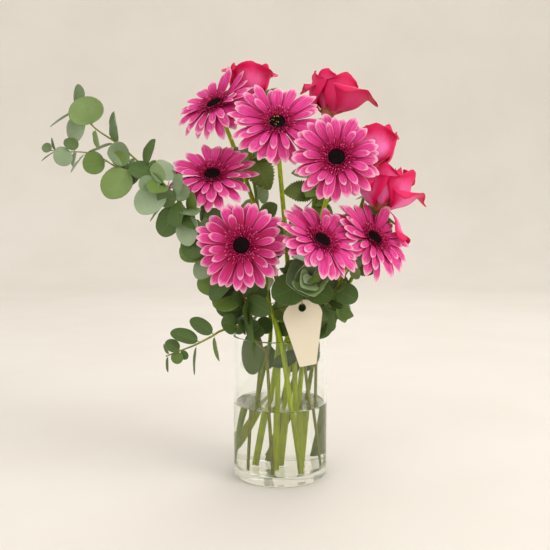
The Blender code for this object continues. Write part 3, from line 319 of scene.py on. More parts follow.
# Eucalyptus stems above the waist, as points in millimetres. The first stem carries the long
# spray on the left, and its side arm starts from it.
SPRAY_ROUTE = [
    (-36, -30, 205), (-58, -50, 271), (-78, -60, 303), (-106, -64, 332), (-137, -56, 368),
    (-167, -44, 393), (-195, -34, 417), (-225, -26, 437), (-249, -20, 463),
]
ARM_ROUTE = [
    (-155, -49, 384), (-175, -52, 384), (-193, -52, 388), (-215, -46, 401), (-235, -40, 407),
    (-258, -35, 408), (-279, -30, 410),
]
LOW_ROUTE = [
    (-34, -31, 180), (-48, -46, 197), (-70, -62, 195), (-82, -70, 189), (-101, -76, 180),
    (-117, -78, 174), (-135, -78, 167),
]
FRONT_ROUTE = [(16, -36, 205), (23, -46, 232), (31, -76, 256), (35, -106, 264)]
RIGHT_ROUTE = [(48, -28, 205), (60, -40, 232), (72, -50, 252), (82, -56, 268)]
ARM_RADII = (1.2 * MM, 0.6 * MM)

# Leaves of each eucalyptus stem: place from 0 at the waist to 1 at the stem's tip, reach from
# root to tip in millimetres, width in millimetres, and turn about the leaf's own middle line
# in degrees.
SPRAY_LEAVES = [
    (1.00, (6, -1, 27), 18, 60), (0.99, (-33, -12, -19), 22, 62), (0.92, (-12, -12, 32), 44, 0),
    (0.95, (-27, 8, -21), 34, 8), (0.91, (-1, 10, -25), 18, 50), (0.82, (-11, 6, 40), 26, -60),
    (0.83, (-38, -10, -12), 26, 64), (0.76, (-3, 5, -15), 10, 20), (0.71, (10, -4, 34), 26, -48),
    (0.73, (-25, -12, -26), 28, 0), (0.66, (-14, -22, -14), 24, 0), (0.69, (21, -10, -31), 26, 52),
    (0.62, (-33, -12, -28), 37, 0), (0.58, (8, -18, 24), 26, -42), (0.57, (2, -20, -30), 28, 40),
    (0.55, (-26, -6, -36), 32, 0), (0.52, (-6, -10, -38), 28, 10), (0.59, (-42, 14, -22), 24, 58),
    (0.50, (3, -4, 30), 22, -50), (0.46, (24, -8, 16), 32, 0), (0.45, (-22, -12, -30), 34, 0),
    (0.47, (11, 14, 28), 24, 56), (0.40, (-46, 2, -14), 34, 0), (0.37, (-34, -8, -30), 30, 10),
    (0.31, (-26, -16, -36), 26, 20), (0.70, (12, 6, 9), 13, 40), (0.28, (-46, -16, -2), 36, 0),
    (0.21, (30, -26, -14), 27, 24), (0.24, (8, 24, 26), 28, 0), (0.16, (-36, 10, 10), 32, 0),
    (0.23, (-30, -22, -14), 34, 0), (0.20, (6, -26, -48), 13, 40), (0.11, (-3, 12, -68), 28, 0),
    (0.34, (20, 26, 16), 30, 0), (0.64, (6, 30, 18), 30, 20), (0.18, (-40, 6, 2), 34, 0),
]
ARM_LEAVES = [
    (0.41, (-27, -8, -5), 31, 0), (0.35, (16, -6, 12), 20, 20), (0.64, (-23, 8, -21), 20, 60),
    (0.77, (-20, -8, -11), 28, 0), (0.75, (-10, 6, 18), 18, 20), (0.73, (-7, 8, -17), 16, 40),
    (0.98, (-11, -2, 6), 13, 0), (0.94, (-18, -4, -11), 12, 60), (0.94, (-8, 4, 16), 10, -62),
    (0.15, (-38, -10, -21), 38, 0), (0.29, (-24, 8, -16), 20, 36),
]
LOW_LEAVES = [
    (0.60, (-27, -4, 20), 20, 20), (0.60, (3, -2, -32), 15, 66), (0.72, (-34, -4, 14), 20, 20),
    (0.75, (-6, -4, -36), 15, 70), (0.88, (-17, -3, 11), 16, 10), (0.89, (-4, -5, -14), 16, 10),
    (0.88, (8, -4, -9), 11, 20), (0.98, (-2, -2, -20), 11, 64), (0.97, (-8, 2, 12), 9, -62),
    (0.38, (-18, -14, 8), 28, 10), (0.36, (-6, 16, 22), 26, 0),
    (0.28, (8, -18, 30), 32, 0),
]
FRONT_LEAVES = [
    (0.82, (-29, -16, -4), 48, 0), (0.83, (27, -16, 2), 46, 0), (0.90, (4, -18, -27), 44, 0),
    (0.90, (-4, -18, 24), 40, 0), (0.96, (-17, -18, 2), 30, 0), (0.96, (17, -18, -2), 32, 0),
    (1.00, (10, -4, -6), 22, 0), (1.00, (-10, -8, -8), 16, 0), (0.77, (-40, -4, -20), 40, 0),
    (0.71, (30, -2, -18), 32, 0), (0.68, (-20, 4, 30), 34, 0), (0.46, (-32, 6, 4), 32, 0),
    (0.42, (22, 10, 24), 28, 30), (0.02, (-36, 4, -22), 20, 10),
]
RIGHT_LEAVES = [
    (0.74, (26, -10, -10), 28, 0), (0.56, (-24, -14, -34), 28, 0), (0.72, (-6, -2, 28), 20, 40),
    (0.98, (12, -2, 18), 18, 0), (0.98, (16, 6, -6), 16, 0), (0.20, (-1, -2, -42), 15, 30),
    (0.62, (20, 22, 6), 30, 0),
]

# Leaflets of each rose stem, told the same way but placed from 0 at the stem's foot.
ROSE_LEAVES = {
    1: [(0.97, (38, -4, 38), 24, 0), (0.86, (24, -28, -38), 40, 0), (0.86, (-30, -18, 6), 26, 0),
        (0.64, (24, -30, 4), 34, 0), (0.335, (8, 16, -46), 30, 0), (0.33, (-12, 14, -40), 26, 0)],
    2: [(0.70, (-30, -36, -8), 34, 0), (0.56, (-10, -40, -10), 36, 0), (0.66, (34, 18, 16), 30, 0),
        (0.63, (-34, -8, 14), 28, 10), (0.80, (-40, -12, 2), 32, 0), (0.76, (22, -24, -14), 28, 0),
        (0.35, (4, 18, -42), 26, 0)],
    3: [(0.70, (30, 14, 18), 26, 0), (0.60, (-16, 22, 24), 28, 0), (0.41, (-20, 10, -46), 30, 0)],
    4: [(0.66, (28, 14, -12), 26, 0), (0.58, (-8, 30, 12), 26, 0), (0.47, (-8, 14, -42), 24, 0)],
}

# Each eucalyptus stem: its place in the waist, its route, its leaves, how thin it ends, and how
# far its leaves are cupped.
Sprig = namedtuple("Sprig", "slot route leaves thin cup")
SPRAY = "eucalyptus_spray"
LOWEST = "eucalyptus_low_sprig"
FOREMOST = "eucalyptus_front_sprig"
EUCALYPTUS = {
    SPRAY: Sprig(("outer", 177), SPRAY_ROUTE, SPRAY_LEAVES, 0.9 * MM, 0.22),
    LOWEST: Sprig(("outer", 217), LOW_ROUTE, LOW_LEAVES, 0.8 * MM, 0.22),
    FOREMOST: Sprig(("outer", 297), FRONT_ROUTE, FRONT_LEAVES, 1.2 * MM, 0.42),
    "eucalyptus_right_sprig": Sprig(("outer", 337), RIGHT_ROUTE, RIGHT_LEAVES, 1.1 * MM, 0.22),
}
# Shades and bow of the leaves round the foremost tip, in the order of FRONT_LEAVES. The shades are
# partly painted light and shade, pale on lit faces and dark on the low outer leaves, with one
# young green leaf among them.
FRONT_SHADES = (0.60, 0.66, 0.74, 0.62, 0.95, 0.80, 0.48, 0.98, 0.20, 0.15, 0.25)
FRONT_BOW = -0.22
# Leaves that fill the bunch: how many, the lowest and highest root, and length and width, in
# millimetres. Each leaf turns on from the one before it by the same angle.
FILLING = {
    "eucalyptus_spray": (34, 188.0, 400.0, 31.0, 29.0),
    "eucalyptus_low_sprig": (7, 186.0, 205.0, 24.0, 24.0),
    "eucalyptus_front_sprig": (14, 186.0, 256.0, 28.0, 28.0),
    "eucalyptus_right_sprig": (12, 186.0, 245.0, 26.0, 26.0),
    "rose_1": (16, 200.0, 430.0, 36.0, 26.0),
    "rose_2": (24, 200.0, 448.0, 38.0, 27.0),
    "rose_3": (12, 200.0, 360.0, 34.0, 25.0),
    "rose_4": (10, 200.0, 310.0, 32.0, 24.0),
}
FILLING_STEPS = 60
FILLING_TURN = 2.4

BODY = "root"


def size_setting(name, description, default, low, high):
    return FloatProperty(
        name=name, description=description, default=default, min=low, max=high, unit="LENGTH"
    )


def colour_setting(name, description, red, green, blue):
    return FloatVectorProperty(
        name=name, description=description, subtype="COLOR", size=4,
        default=(red, green, blue, 1.0), min=0.0, max=1.0,
    )


class VaseSettings(bpy.types.PropertyGroup):
    """Sizes and tints of the vase and its water."""

    radius: size_setting("Radius", "Outer radius of the cylinder", VASE_BOX[1].x, 0.03, 0.09)
    height: size_setting("Height", "Height from the table to the rim", VASE_BOX[1].z, 0.1, 0.3)
    wall: size_setting("Wall", "Thickness of the glass wall", 0.003, 0.0015, 0.006)
    floor: size_setting("Floor", "Thickness of the glass floor", 0.011, 0.004, 0.02)
    water_top: size_setting(
        "Water level", "Height of the water surface", WATER_BOX[1].z, 0.03, 0.15
    )
    glass_tint: colour_setting("Glass tint", "Colour of the glass", 0.985, 1.0, 0.988)
    water_tint: colour_setting("Water tint", "Colour of the water", 0.985, 0.993, 0.950)


class GerberaSettings(bpy.types.PropertyGroup):
    """Sizes and colours of the gerberas."""

    rays: IntProperty(
        name="Rays per layer", description="How many rays each layer of a head has",
        default=15, min=8, max=24,
    )
    ray_width: size_setting("Ray width", "Width of a ray at its widest", 0.0134, 0.006, 0.018)
    stem: size_setting("Stem radius", "Radius of a stem at its foot", GERBERA_STEM, 0.002, 0.005)
    neck: size_setting("Neck radius", "Radius of a stem below its head", 0.0027, 0.0015, 0.004)
    pink: colour_setting("Ray pink", "Main colour of the rays", 0.76, 0.042, 0.30)
    deep: colour_setting(
        "Deep pink", "Colour of the streaks and of the rays' roots", 0.37, 0.005, 0.070
    )
    pale: colour_setting("Pale edge", "Colour of the rays' tips and edges", 0.96, 0.52, 0.68)
    floret: colour_setting("Florets", "Colour of the fringe of florets", 0.40, 0.006, 0.070)
    disc: colour_setting("Disc", "Colour of the dark middle", 0.008, 0.003, 0.004)
    green: colour_setting("Stem green", "Colour of the stems", 0.44, 0.57, 0.008)


class RoseSettings(bpy.types.PropertyGroup):
    """Sizes and colours of the roses."""

    stem: size_setting("Stem radius", "Radius of a stem at its foot", ROSE_STEM, 0.002, 0.005)
    red: colour_setting("Petal", "Colour of the petals", 0.74, 0.006, 0.115)
    light: colour_setting(
        "Petal blush", "Pale colour on the outside of the petals", 1.0, 0.22, 0.58
    )
    leaf: colour_setting("Leaf", "Colour of the leaflets", 0.085, 0.165, 0.010)
    green: colour_setting("Stem green", "Colour of the stems", 0.25, 0.37, 0.008)


class EucalyptusSettings(bpy.types.PropertyGroup):
    """Sizes and colours of the eucalyptus."""

    stem: size_setting("Stem radius", "Radius of a stem at its foot", 0.0021, 0.0015, 0.004)
    leaf: colour_setting("Leaf", "Main colour of the leaves", 0.070, 0.128, 0.026)
    # Beside the real wax, this colour is laid on as painted light on leaves high in the bunch,
    # through their shade.
    bloom: colour_setting(
        "Waxy bloom", "Pale grey-green of the wax on the leaves", 0.33, 0.43, 0.27
    )
    twig: colour_setting("Twig", "Colour of the thin stems", 0.26, 0.30, 0.035)


class TagSettings(bpy.types.PropertyGroup):
    """Sizes and colours of the tag and the twine."""

    strand: size_setting(
        "Strand radius", "Radius of each strand of the twine", 0.00038, 0.0002, 0.001
    )
    card: colour_setting("Card", "Colour of the card", 0.75, 0.68, 0.54)
    twine: colour_setting("Twine", "Colour of the twine", 0.36, 0.25, 0.085)


class StudioSettings(bpy.types.PropertyGroup):
    """Colours and strengths of the studio round the part."""

    floor: colour_setting("Floor", "Colour of the plain floor", 0.80, 0.765, 0.715)
    sky: FloatProperty(
        name="Sky", description="Strength of the even light from all round",
        default=0.96, min=0.0, max=3.0,
    )
    key: FloatProperty(
        name="Key", description="Strength of the large soft light on the right",
        default=18.0, min=0.0, max=200.0,
    )


class Wire:
    """A socket of a node tree that sums and products can be written with."""

    def __init__(self, nodes, socket):
        self.nodes = nodes
        self.socket = socket

    def __add__(self, other):
        return self.nodes.maths("ADD", self, other)

    def __radd__(self, other):
        return self.nodes.maths("ADD", other, self)

    def __sub__(self, other):
        return self.nodes.maths("SUBTRACT", self, other)

    def __rsub__(self, other):
        return self.nodes.maths("SUBTRACT", other, self)

    def __mul__(self, other):
        return self.nodes.maths("MULTIPLY", self, other)

    def __truediv__(self, other):
        return self.nodes.maths("DIVIDE", self, other)

    def __abs__(self):
        return self.nodes.maths("ABSOLUTE", self)

    def most(self, other):
        return self.nodes.maths("MAXIMUM", self, other)

    def between(self, low, high):
        """0 below low, 1 above high, and smooth in between."""
        values = {"Value": self, "From Min": low, "From Max": high}
        settings = {"interpolation_type": "SMOOTHSTEP"}
        return self.nodes.add("ShaderNodeMapRange", settings, values)


class Nodes:
    """The nodes of one tree, each made by one method."""

    def __init__(self, tree):
        self.tree = tree

    def add(self, kind, settings=None, values=None, output=0):
        node = self.tree.nodes.new(kind)
        for name, value in (settings or {}).items():
            setattr(node, name, value)
        for key, value in (values or {}).items():
            if isinstance(value, Wire):
                self.tree.links.new(value.socket, node.inputs[key])
            else:
                node.inputs[key].default_value = value
        return Wire(self, node.outputs[output])

    def maths(self, operation, *values):
        return self.add("ShaderNodeMath", {"operation": operation}, dict(enumerate(values)))

    def vector(self, x, y, z):
        return self.add("ShaderNodeCombineXYZ", values={"X": x, "Y": y, "Z": z})

    def parts(self, vector):
        """The x, y and z of a vector."""
        split = self.add("ShaderNodeSeparateXYZ", values={0: vector}).socket.node
        return [Wire(self, output) for output in split.outputs]

    def carried(self, *names):
        """Values that the points of a mesh carry, for a material."""
        kind = "ShaderNodeAttribute"
        return [self.add(kind, {"attribute_name": name}, output="Fac") for name in names]

    def place(self):
        return self.add("ShaderNodeTexCoord", output="Object")

    def noise(self, where, scale, detail=3.0, roughness=0.55):
        values = {"Vector": where, "Scale": scale, "Detail": detail, "Roughness": roughness}
        return self.add("ShaderNodeTexNoise", values=values)

    def layered(self, colour, *layers):
        """A colour with others laid over it in turn, each told as (how much, colour)."""
        for factor, other in layers:
            values = {"Factor": factor, 6: colour, 7: other}
            colour = self.add("ShaderNodeMix", {"data_type": "RGBA"}, values, output=2)
        return colour

    def bump(self, height, distance, strength=1.0):
        values = {"Height": height, "Distance": distance, "Strength": strength}
        return self.add("ShaderNodeBump", values=values)


class Surface(Nodes):
    """The nodes of one material. Inputs of its shader are named in lower case."""

    def __init__(self, name, **constants):
        self.material = bpy.data.materials.new(name)
        self.material.use_nodes = True
        super().__init__(self.material.node_tree)
        for word, value in constants.items():
            self.input_of(word).default_value = value

    def input_of(self, word):
        shader = self.tree.nodes["Principled BSDF"]
        return shader.inputs[word.replace("_", " ").title().replace("Ior", "IOR")]

    def finished(self, **wires):
        for word, wire in wires.items():
            self.tree.links.new(wire.socket, self.input_of(word))
        return self.material


def colour_of(value):
    return tuple(value[:])


def ray_material(look):
    """Streaked pink, deep at the root and pale at the tip and along the margins."""
    nodes = Surface(
        "gerbera_ray", subsurface_weight=0.10, subsurface_scale=0.003, specular_ior_level=0.2
    )
    along, across, shade, face = nodes.carried("along", "across", "shade", "face")
    deep, pale = colour_of(look.deep), colour_of(look.pale)
    streaks = nodes.noise(nodes.vector(across * 3.6, along * 0.5, shade * 40.0), 2.2, 3.0)
    fine = nodes.noise(nodes.vector(across * 9.0, along * 1.3, shade * 23.0), 2.4, 2.0)
    reach = along + shade * 0.42 + streaks * 0.30
    margin = (abs(across) + fine * 0.34).between(0.92, 1.16)
    margin = margin * (along + streaks * 0.4).between(0.55, 1.15)
    tip = (along + fine * 0.22 + abs(across) * 0.08).between(0.92, 1.16)
    veil = fine.between(0.50, 0.70) * along.between(0.40, 0.95) * (0.12 + shade * 0.60)
    colour = nodes.layered(
        deep,
        (reach.between(0.42, 1.12), colour_of(look.pink)),
        (streaks.between(0.50, 0.64) * 0.62, deep),
        ((margin * 0.85).most(tip).most(veil), pale),
        (face.between(0.2, -0.2) * 0.40, pale),
    )
    height = nodes.maths("SINE", across * 17.0) * 0.4 + fine
    return nodes.finished(
        base_color=colour, roughness=0.48 + streaks * 0.2, normal=nodes.bump(height, 0.0004, 0.5)
    )


def floret_material(look):
    nodes = Surface("gerbera_floret", specular_ior_level=0.12)
    along, shade = nodes.carried("along", "shade")
    colour = nodes.layered(
        FLORET_FOOT,
        (along.between(0.25, 0.80), colour_of(look.floret)),
        (along.between(0.62, 0.92) * shade.between(0.30, 0.80) * 0.60, colour_of(look.pink)),
        (along.between(0.84, 0.98) * shade.between(0.72, 0.90) * 0.7, colour_of(look.pale)),
    )
    return nodes.finished(base_color=colour, roughness=0.5 + shade * 0.1)


def disc_material(look, pollen):
    """The dark middle, with a share of its buds dusted with pollen."""
    nodes = Surface(f"gerbera_disc_{round(pollen * 100)}", specular_ior_level=0.12)
    [shade] = nodes.carried("shade")
    colour = nodes.layered(
        colour_of(look.disc),
        (shade * 0.4, DISC_GLEAM),
        (shade.between(1.0 - pollen, 1.03 - pollen), POLLEN),
    )
    return nodes.finished(base_color=colour, roughness=0.70 + shade * 0.2)


def stem_material(name, green, dark):
    """A soft green stem, paler and yellower towards its foot."""
    nodes = Surface(name, specular_ior_level=0.2)
    where = nodes.place()
    height = nodes.parts(where)[2]
    along = nodes.add(
        "ShaderNodeMapping", {"vector_type": "POINT"}, {"Vector": where, "Scale": (1.0, 1.0, 0.12)}
    )
    streaks = nodes.noise(along, 420.0, 3.0)
    blotches = nodes.noise(where, 60.0, 3.0)
    warm = (min(green[0] * 1.5, 1.0), green[1] * 1.30, green[2], 1.0)
    colour = nodes.layered(
        green,
        (streaks.between(0.35, 0.7) * 0.7, dark),
        (height.between(0.20, 0.05) * 0.45, warm),
        (blotches.between(0.62, 0.75) * 0.25, STEM_BLOTCH),
    )
    return nodes.finished(
        base_color=colour, roughness=0.38 + streaks * 0.2, normal=nodes.bump(streaks, 0.0003, 0.4)
    )


def rose_petal_material(look):
    """Crimson within and at the lip, with a pale blush on the outside of each petal."""
    nodes = Surface(
        "rose_petal", subsurface_weight=0.12, subsurface_scale=0.004, specular_ior_level=0.25
    )
    along, across, shade, face = nodes.carried("along", "across", "shade", "face")
    red = colour_of(look.red)
    veins = nodes.noise(nodes.vector(across * 9.0, along * 1.6, shade * 31.0), 2.4, 3.0)
    clouds = nodes.noise(nodes.place(), 55.0, 2.0)
    lower = (along + clouds * 0.30).between(1.05, 0.62)
    middle = (abs(across) + clouds * 0.40).between(1.08, 0.50)
    blush = face.between(0.2, -0.2) * lower * middle * (0.05 + shade * 0.95)
    colour = nodes.layered(
        red,
        (shade.between(0.50, 0.05) * 0.4, VELVET),
        (blush, colour_of(look.light)),
        (veins.between(0.45, 0.7) * 0.22, red),
        (along.between(0.90, 1.0) * 0.45, PETAL_RIM),
        (along.between(0.12, 0.0) * 0.6, PETAL_FOOT),
    )
    return nodes.finished(
        base_color=colour, roughness=0.44 + veins * 0.18, normal=nodes.bump(veins, 0.0005, 0.35)
    )


def rose_leaf_material(look):
    """Fresh green, lighter where a leaf's shade is high, and that shade is partly painted light
    and shade, with a pale midrib and side veins, and paler underneath.
    """
    nodes = Surface("rose_leaf", coat_weight=0.15, coat_roughness=0.3)
    along, across, shade, face = nodes.carried("along", "across", "shade", "face")
    ribs = nodes.maths("SINE", (along * 1.0 - abs(across) * 0.16) * 60.0)
    vein = ribs.between(0.86, 1.0).most(abs(across).between(0.07, 0.02))
    mottle = nodes.noise(nodes.place(), 140.0, 3.0)
    colour = nodes.layered(
        colour_of(look.leaf),
        # Painted light and shade: leaves low in the bunch have a darker shade and get less of the
        # lighter green, beside a random mottle.
        (mottle * 0.5 + shade * 0.7, ROSE_LEAF_LIGHT),
        (vein * 0.45, ROSE_LEAF_VEIN),
        (face.between(0.2, -0.2) * 0.5, ROSE_LEAF_BACK),
    )
    return nodes.finished(
        base_color=colour, roughness=0.36 + mottle * 0.2,
        normal=nodes.bump(vein + mottle * 0.3, 0.0006, 0.5),
    )


def eucalyptus_material(look):
    """Grey-green wax over green, laid on more where a leaf's shade is high, and that shade is
    partly painted light and shade; some leaves fresher, with a faint rib and a pale edge.
    """
    nodes = Surface("eucalyptus_leaf", specular_ior_level=0.35)
    along, across, shade, face = nodes.carried("along", "across", "shade", "face")
    wax = nodes.noise(nodes.place(), 38.0, 3.0)
    speckle = nodes.noise(nodes.place(), 420.0, 2.0)
    rib = abs(across).between(0.055, 0.015)
    side = nodes.maths("SINE", (along * 1.0 - abs(across) * 0.35) * 42.0).between(0.93, 1.0)
    fresh = nodes.maths("SINE", shade * 61.0).between(0.25, 0.75)
    young = shade.between(0.46, 0.475) * shade.between(0.495, 0.485)
    colour = nodes.layered(
        colour_of(look.leaf),
        # Painted light and shade: a leaf's shade is darker low in the bunch, so the pale bloom
        # goes mostly on leaves high up.
        ((wax * 0.30 + shade * 0.95).between(0.42, 1.10), colour_of(look.bloom)),
        (fresh * 0.5, GUM_FRESH),
        (young * 0.8, GUM_YOUNG),
        (rib * 0.13, GUM_RIB),
        (side * 0.09, GUM_VEIN),
        (speckle.between(0.60, 0.75) * 0.22, GUM_SPECKLE),
        (face.between(0.2, -0.2) * (0.12 + shade * 0.40), GUM_BACK),
        (abs(across).between(0.93, 1.0) * 0.35, GUM_EDGE),
    )
    height = side * 0.5 + rib * -0.8 + speckle * 0.3
    return nodes.finished(
        base_color=colour, roughness=0.46 + wax * 0.15, normal=nodes.bump(height, 0.0004, 0.5)
    )


def clear_material(name, tint, ior):
    return Surface(
        name, roughness=0.0, transmission_weight=1.0, ior=ior, base_color=colour_of(tint)
    ).material


def card_material(look):
    nodes = Surface("tag_card", specular_ior_level=0.3)
    where = nodes.place()
    grain = nodes.noise(where, 900.0, 4.0, 0.7)
    colour = nodes.layered(
        colour_of(look.card),
        (nodes.noise(where, 70.0, 2.0) * 0.35, CARD_CLOUD),
        (grain.between(0.6, 0.75) * 0.15, CARD_FLECK),
    )
    return nodes.finished(
        base_color=colour, roughness=0.72 + grain * 0.15, normal=nodes.bump(grain, 0.0002, 0.5)
    )


def twine_material(look):
    nodes = Surface("twine_fibre", sheen_weight=0.4)
    [shade] = nodes.carried("shade")
    fibre = nodes.noise(nodes.place(), 1900.0, 3.0, 0.7)
    colour = nodes.layered(
        colour_of(look.twine),
        (fibre.between(0.3, 0.75), FIBRE_DARK),
        (shade * 0.3, FIBRE_LIGHT),
    )
    return nodes.finished(
        base_color=colour, roughness=0.75 + fibre * 0.15, normal=nodes.bump(fibre, 0.0003, 0.8)
    )


def floor_material(look):
    nodes = Surface("studio_floor", specular_ior_level=0.25)
    cloud = nodes.noise(nodes.place(), 3.0, 3.0)
    pale = colour_of(look.floor)
    warm = (pale[0] * 0.97, pale[1] * 0.965, pale[2] * 0.955, 1.0)
    colour = nodes.layered(pale, (cloud.between(0.35, 0.65), warm))
    return nodes.finished(base_color=colour, roughness=0.62 + cloud * 0.1)


def new_growth(name, inputs):
    """The nodes of a new geometry tree, and its inputs as wires by their names."""
    tree = bpy.data.node_groups.new(name, "GeometryNodeTree")
    tree.interface.new_socket("Geometry", in_out="INPUT", socket_type="NodeSocketGeometry")
    for label, kind, default in inputs:
        made = tree.interface.new_socket(label, in_out="INPUT", socket_type=kind)
        if default is not None:
            made.default_value = default
    tree.interface.new_socket("Geometry", in_out="OUTPUT", socket_type="NodeSocketGeometry")
    nodes = Nodes(tree)
    start = tree.nodes.new("NodeGroupInput")
    return nodes, {socket.name: Wire(nodes, socket) for socket in start.outputs}


def stored(nodes, geometry, name, value):
    """The geometry with a value kept on its points."""
    return nodes.add(
        "GeometryNodeStoreNamedAttribute", {"data_type": "FLOAT", "domain": "POINT"},
        {"Geometry": geometry, "Name": name, "Value": value},
    )


def finished_growth(nodes, geometry, material):
    """Ends a geometry tree in one smooth mesh with its material."""
    real = nodes.add("GeometryNodeRealizeInstances", values={"Geometry": geometry})
    smooth = nodes.add("GeometryNodeSetShadeSmooth", values={"Geometry": real})
    values = {"Geometry": smooth, "Material": material}
    dressed = nodes.add("GeometryNodeSetMaterial", values=values)
    end = nodes.tree.nodes.new("NodeGroupOutput")
    nodes.tree.links.new(dressed.socket, end.inputs["Geometry"])
    return nodes.tree


def blade_tree():
    """Sweeps a blade along each guide line: a flat lens in section, as wide as the line's own
    half width, then cupped by the line's own cup, furrowed lengthwise and ruffled at its edges.
    With its thickness at 1 it is a round stem."""
    nodes, given = new_growth("sweep_blades", (
        ("Thickness", "NodeSocketFloat", 0.05),
        ("Furrow Depth", "NodeSocketFloat", 0.0),
        ("Furrows", "NodeSocketFloat", 3.0),
        ("Ruffle", "NodeSocketFloat", 0.0),
        ("Points Across", "NodeSocketInt", 12),
        ("Material", "NodeSocketMaterial", None),
    ))

    def kept(name, kind="FLOAT"):
        settings = {"data_type": kind}
        return nodes.add("GeometryNodeInputNamedAttribute", settings, {"Name": name}, "Attribute")

    curve = nodes.add("GeometryNodeMeshToCurve", values={"Mesh": given["Geometry"]})
    facing = nodes.add("GeometryNodeSetCurveNormal", {"mode": "FREE"}, {
        "Curve": curve, "Normal": kept("upper", "FLOAT_VECTOR"),
    })
    ring = nodes.add("GeometryNodeCurvePrimitiveCircle", values={
        "Resolution": given["Points Across"], "Radius": 1.0,
    }, output="Curve")
    place = nodes.add("GeometryNodeInputPosition")
    x, y = nodes.parts(place)[:2]
    marked = stored(nodes, stored(nodes, ring, "across", y), "face", x)
    section = nodes.add("GeometryNodeSetPosition", values={
        "Geometry": marked, "Position": nodes.vector(x * given["Thickness"], y, 0.0),
    })
    blade = nodes.add("GeometryNodeCurveToMesh", values={
        "Curve": facing, "Profile Curve": section, "Scale": kept("half"), "Fill Caps": True,
    })

    across = kept("across")
    turns = across * (given["Furrows"] * math.pi)
    furrow = nodes.maths("COSINE", turns) * given["Furrow Depth"]
    noise = nodes.add(
        "ShaderNodeTexNoise", values={"Vector": place, "Scale": RUFFLE_SCALE, "Detail": 1.0}
    )
    edge = (kept("cup") + (noise - 0.5) * given["Ruffle"]) * (across * across)
    lift = nodes.add("ShaderNodeVectorMath", {"operation": "SCALE"}, {
        0: kept("upper", "FLOAT_VECTOR"), "Scale": (edge + furrow) * kept("half"),
    })
    shaped = nodes.add("GeometryNodeSetPosition", values={"Geometry": blade, "Offset": lift})
    return finished_growth(nodes, shaped, given["Material"])


def bud_tree():
    """Sets small buds on a dome in the spiral that the middle of a daisy grows in."""
    nodes, given = new_growth("spiral_buds", (
        ("Buds", "NodeSocketInt", 90),
        ("Radius", "NodeSocketFloat", DISC_RADIUS),
        ("Dome", "NodeSocketFloat", 0.003),
        ("Bud Size", "NodeSocketFloat", 0.0009),
        ("Seed", "NodeSocketInt", SEED),
        ("Material", "NodeSocketMaterial", None),
    ))

    def chance(low, high, seed):
        values = {2: low, 3: high, "Seed": seed}
        return nodes.add("FunctionNodeRandomValue", {"data_type": "FLOAT"}, values, 1)

    points = nodes.add("GeometryNodePoints", values={"Count": given["Buds"]})
    index = nodes.add("GeometryNodeInputIndex")
    share = index / given["Buds"]
    reach = nodes.maths("SQRT", share) * given["Radius"]
    angle = index * GOLDEN_ANGLE
    spot = nodes.vector(
        nodes.maths("COSINE", angle) * reach, nodes.maths("SINE", angle) * reach,
        (1.0 - share) * given["Dome"],
    )
    placed = nodes.add("GeometryNodeSetPosition", values={"Geometry": points, "Position": spot})
    toned = stored(nodes, placed, "shade", chance(0.0, 1.0, given["Seed"] + 5.0))
    bud = nodes.add("GeometryNodeMeshIcoSphere", values={
        "Radius": given["Bud Size"], "Subdivisions": 2,
    }, output="Mesh")
    size = chance(0.75, 1.25, given["Seed"])
    buds = nodes.add("GeometryNodeInstanceOnPoints", values={
        "Points": toned, "Instance": bud, "Scale": nodes.vector(size, size, size * 1.5),
    })
    return finished_growth(nodes, buds, given["Material"])


def grown(obj, name, maker, **values):
    """Runs a geometry tree on an object and leaves its result as a plain mesh."""
    tree = bpy.data.node_groups.get(name) or maker()
    modifier = obj.modifiers.new("grow", "NODES")
    modifier.node_group = tree
    for word, value in values.items():
        socket = tree.interface.items_tree[word.replace("_", " ").title()]
        modifier[socket.identifier] = value
    graph = bpy.context.evaluated_depsgraph_get()
    made = bpy.data.meshes.new_from_object(obj.evaluated_get(graph))
    obj.modifiers.clear()
    guide = obj.data
    obj.data = made
    bpy.data.meshes.remove(guide)
    return obj


def new_object(name, mesh):
    obj = bpy.data.objects.new(name, mesh)
    bpy.context.scene.collection.objects.link(obj)
    return obj


class Line:
    """A guide line: its points, the way its upper face looks, half its width at each, a shade that
    is random or given and on leaves partly painted shade, and how far its blade's edges rise as a
    share of that half width."""

    def __init__(self, points, uppers, halves, shade=0.5, alongs=None, cup=0.0):
        self.points = points
        self.uppers = uppers
        self.halves = halves
        self.shade = shade
        self.cup = cup
        last = len(points) - 1
        self.alongs = alongs or [index / last for index in range(last + 1)]


def swept(name, lines, material, section):
    """One object with a blade or a stem along every line."""
    thickness, depth, ruffle, across = section
    mesh = bpy.data.meshes.new(name)
    points = [point for line in lines for point in line.points]
    edges = []
    start = 0
    for line in lines:
        edges += [(start + step, start + step + 1) for step in range(len(line.points) - 1)]
        start += len(line.points)
    mesh.from_pydata(points, edges, [])
    upper = mesh.attributes.new("upper", "FLOAT_VECTOR", "POINT")
    upper.data.foreach_set("vector", [x for line in lines for way in line.uppers for x in way])
    for label, values in (
        ("half", [half for line in lines for half in line.halves]),
        ("along", [along for line in lines for along in line.alongs]),
        ("shade", [line.shade for line in lines for point in line.points]),
        ("cup", [line.cup for line in lines for point in line.points]),
    ):
        mesh.attributes.new(label, "FLOAT", "POINT").data.foreach_set("value", values)
    return grown(
        new_object(name, mesh), "sweep_blades", blade_tree, thickness=thickness,
        furrow_depth=depth, ruffle=ruffle, points_across=across, material=material,
    )


def joined(name, parts):
    """Several objects made one."""
    target = parts[0]
    with bpy.context.temp_override(
        active_object=target, selected_editable_objects=parts, selected_objects=parts
    ):
        bpy.ops.object.join()
    target.name = name
    target.data.name = name
    return target


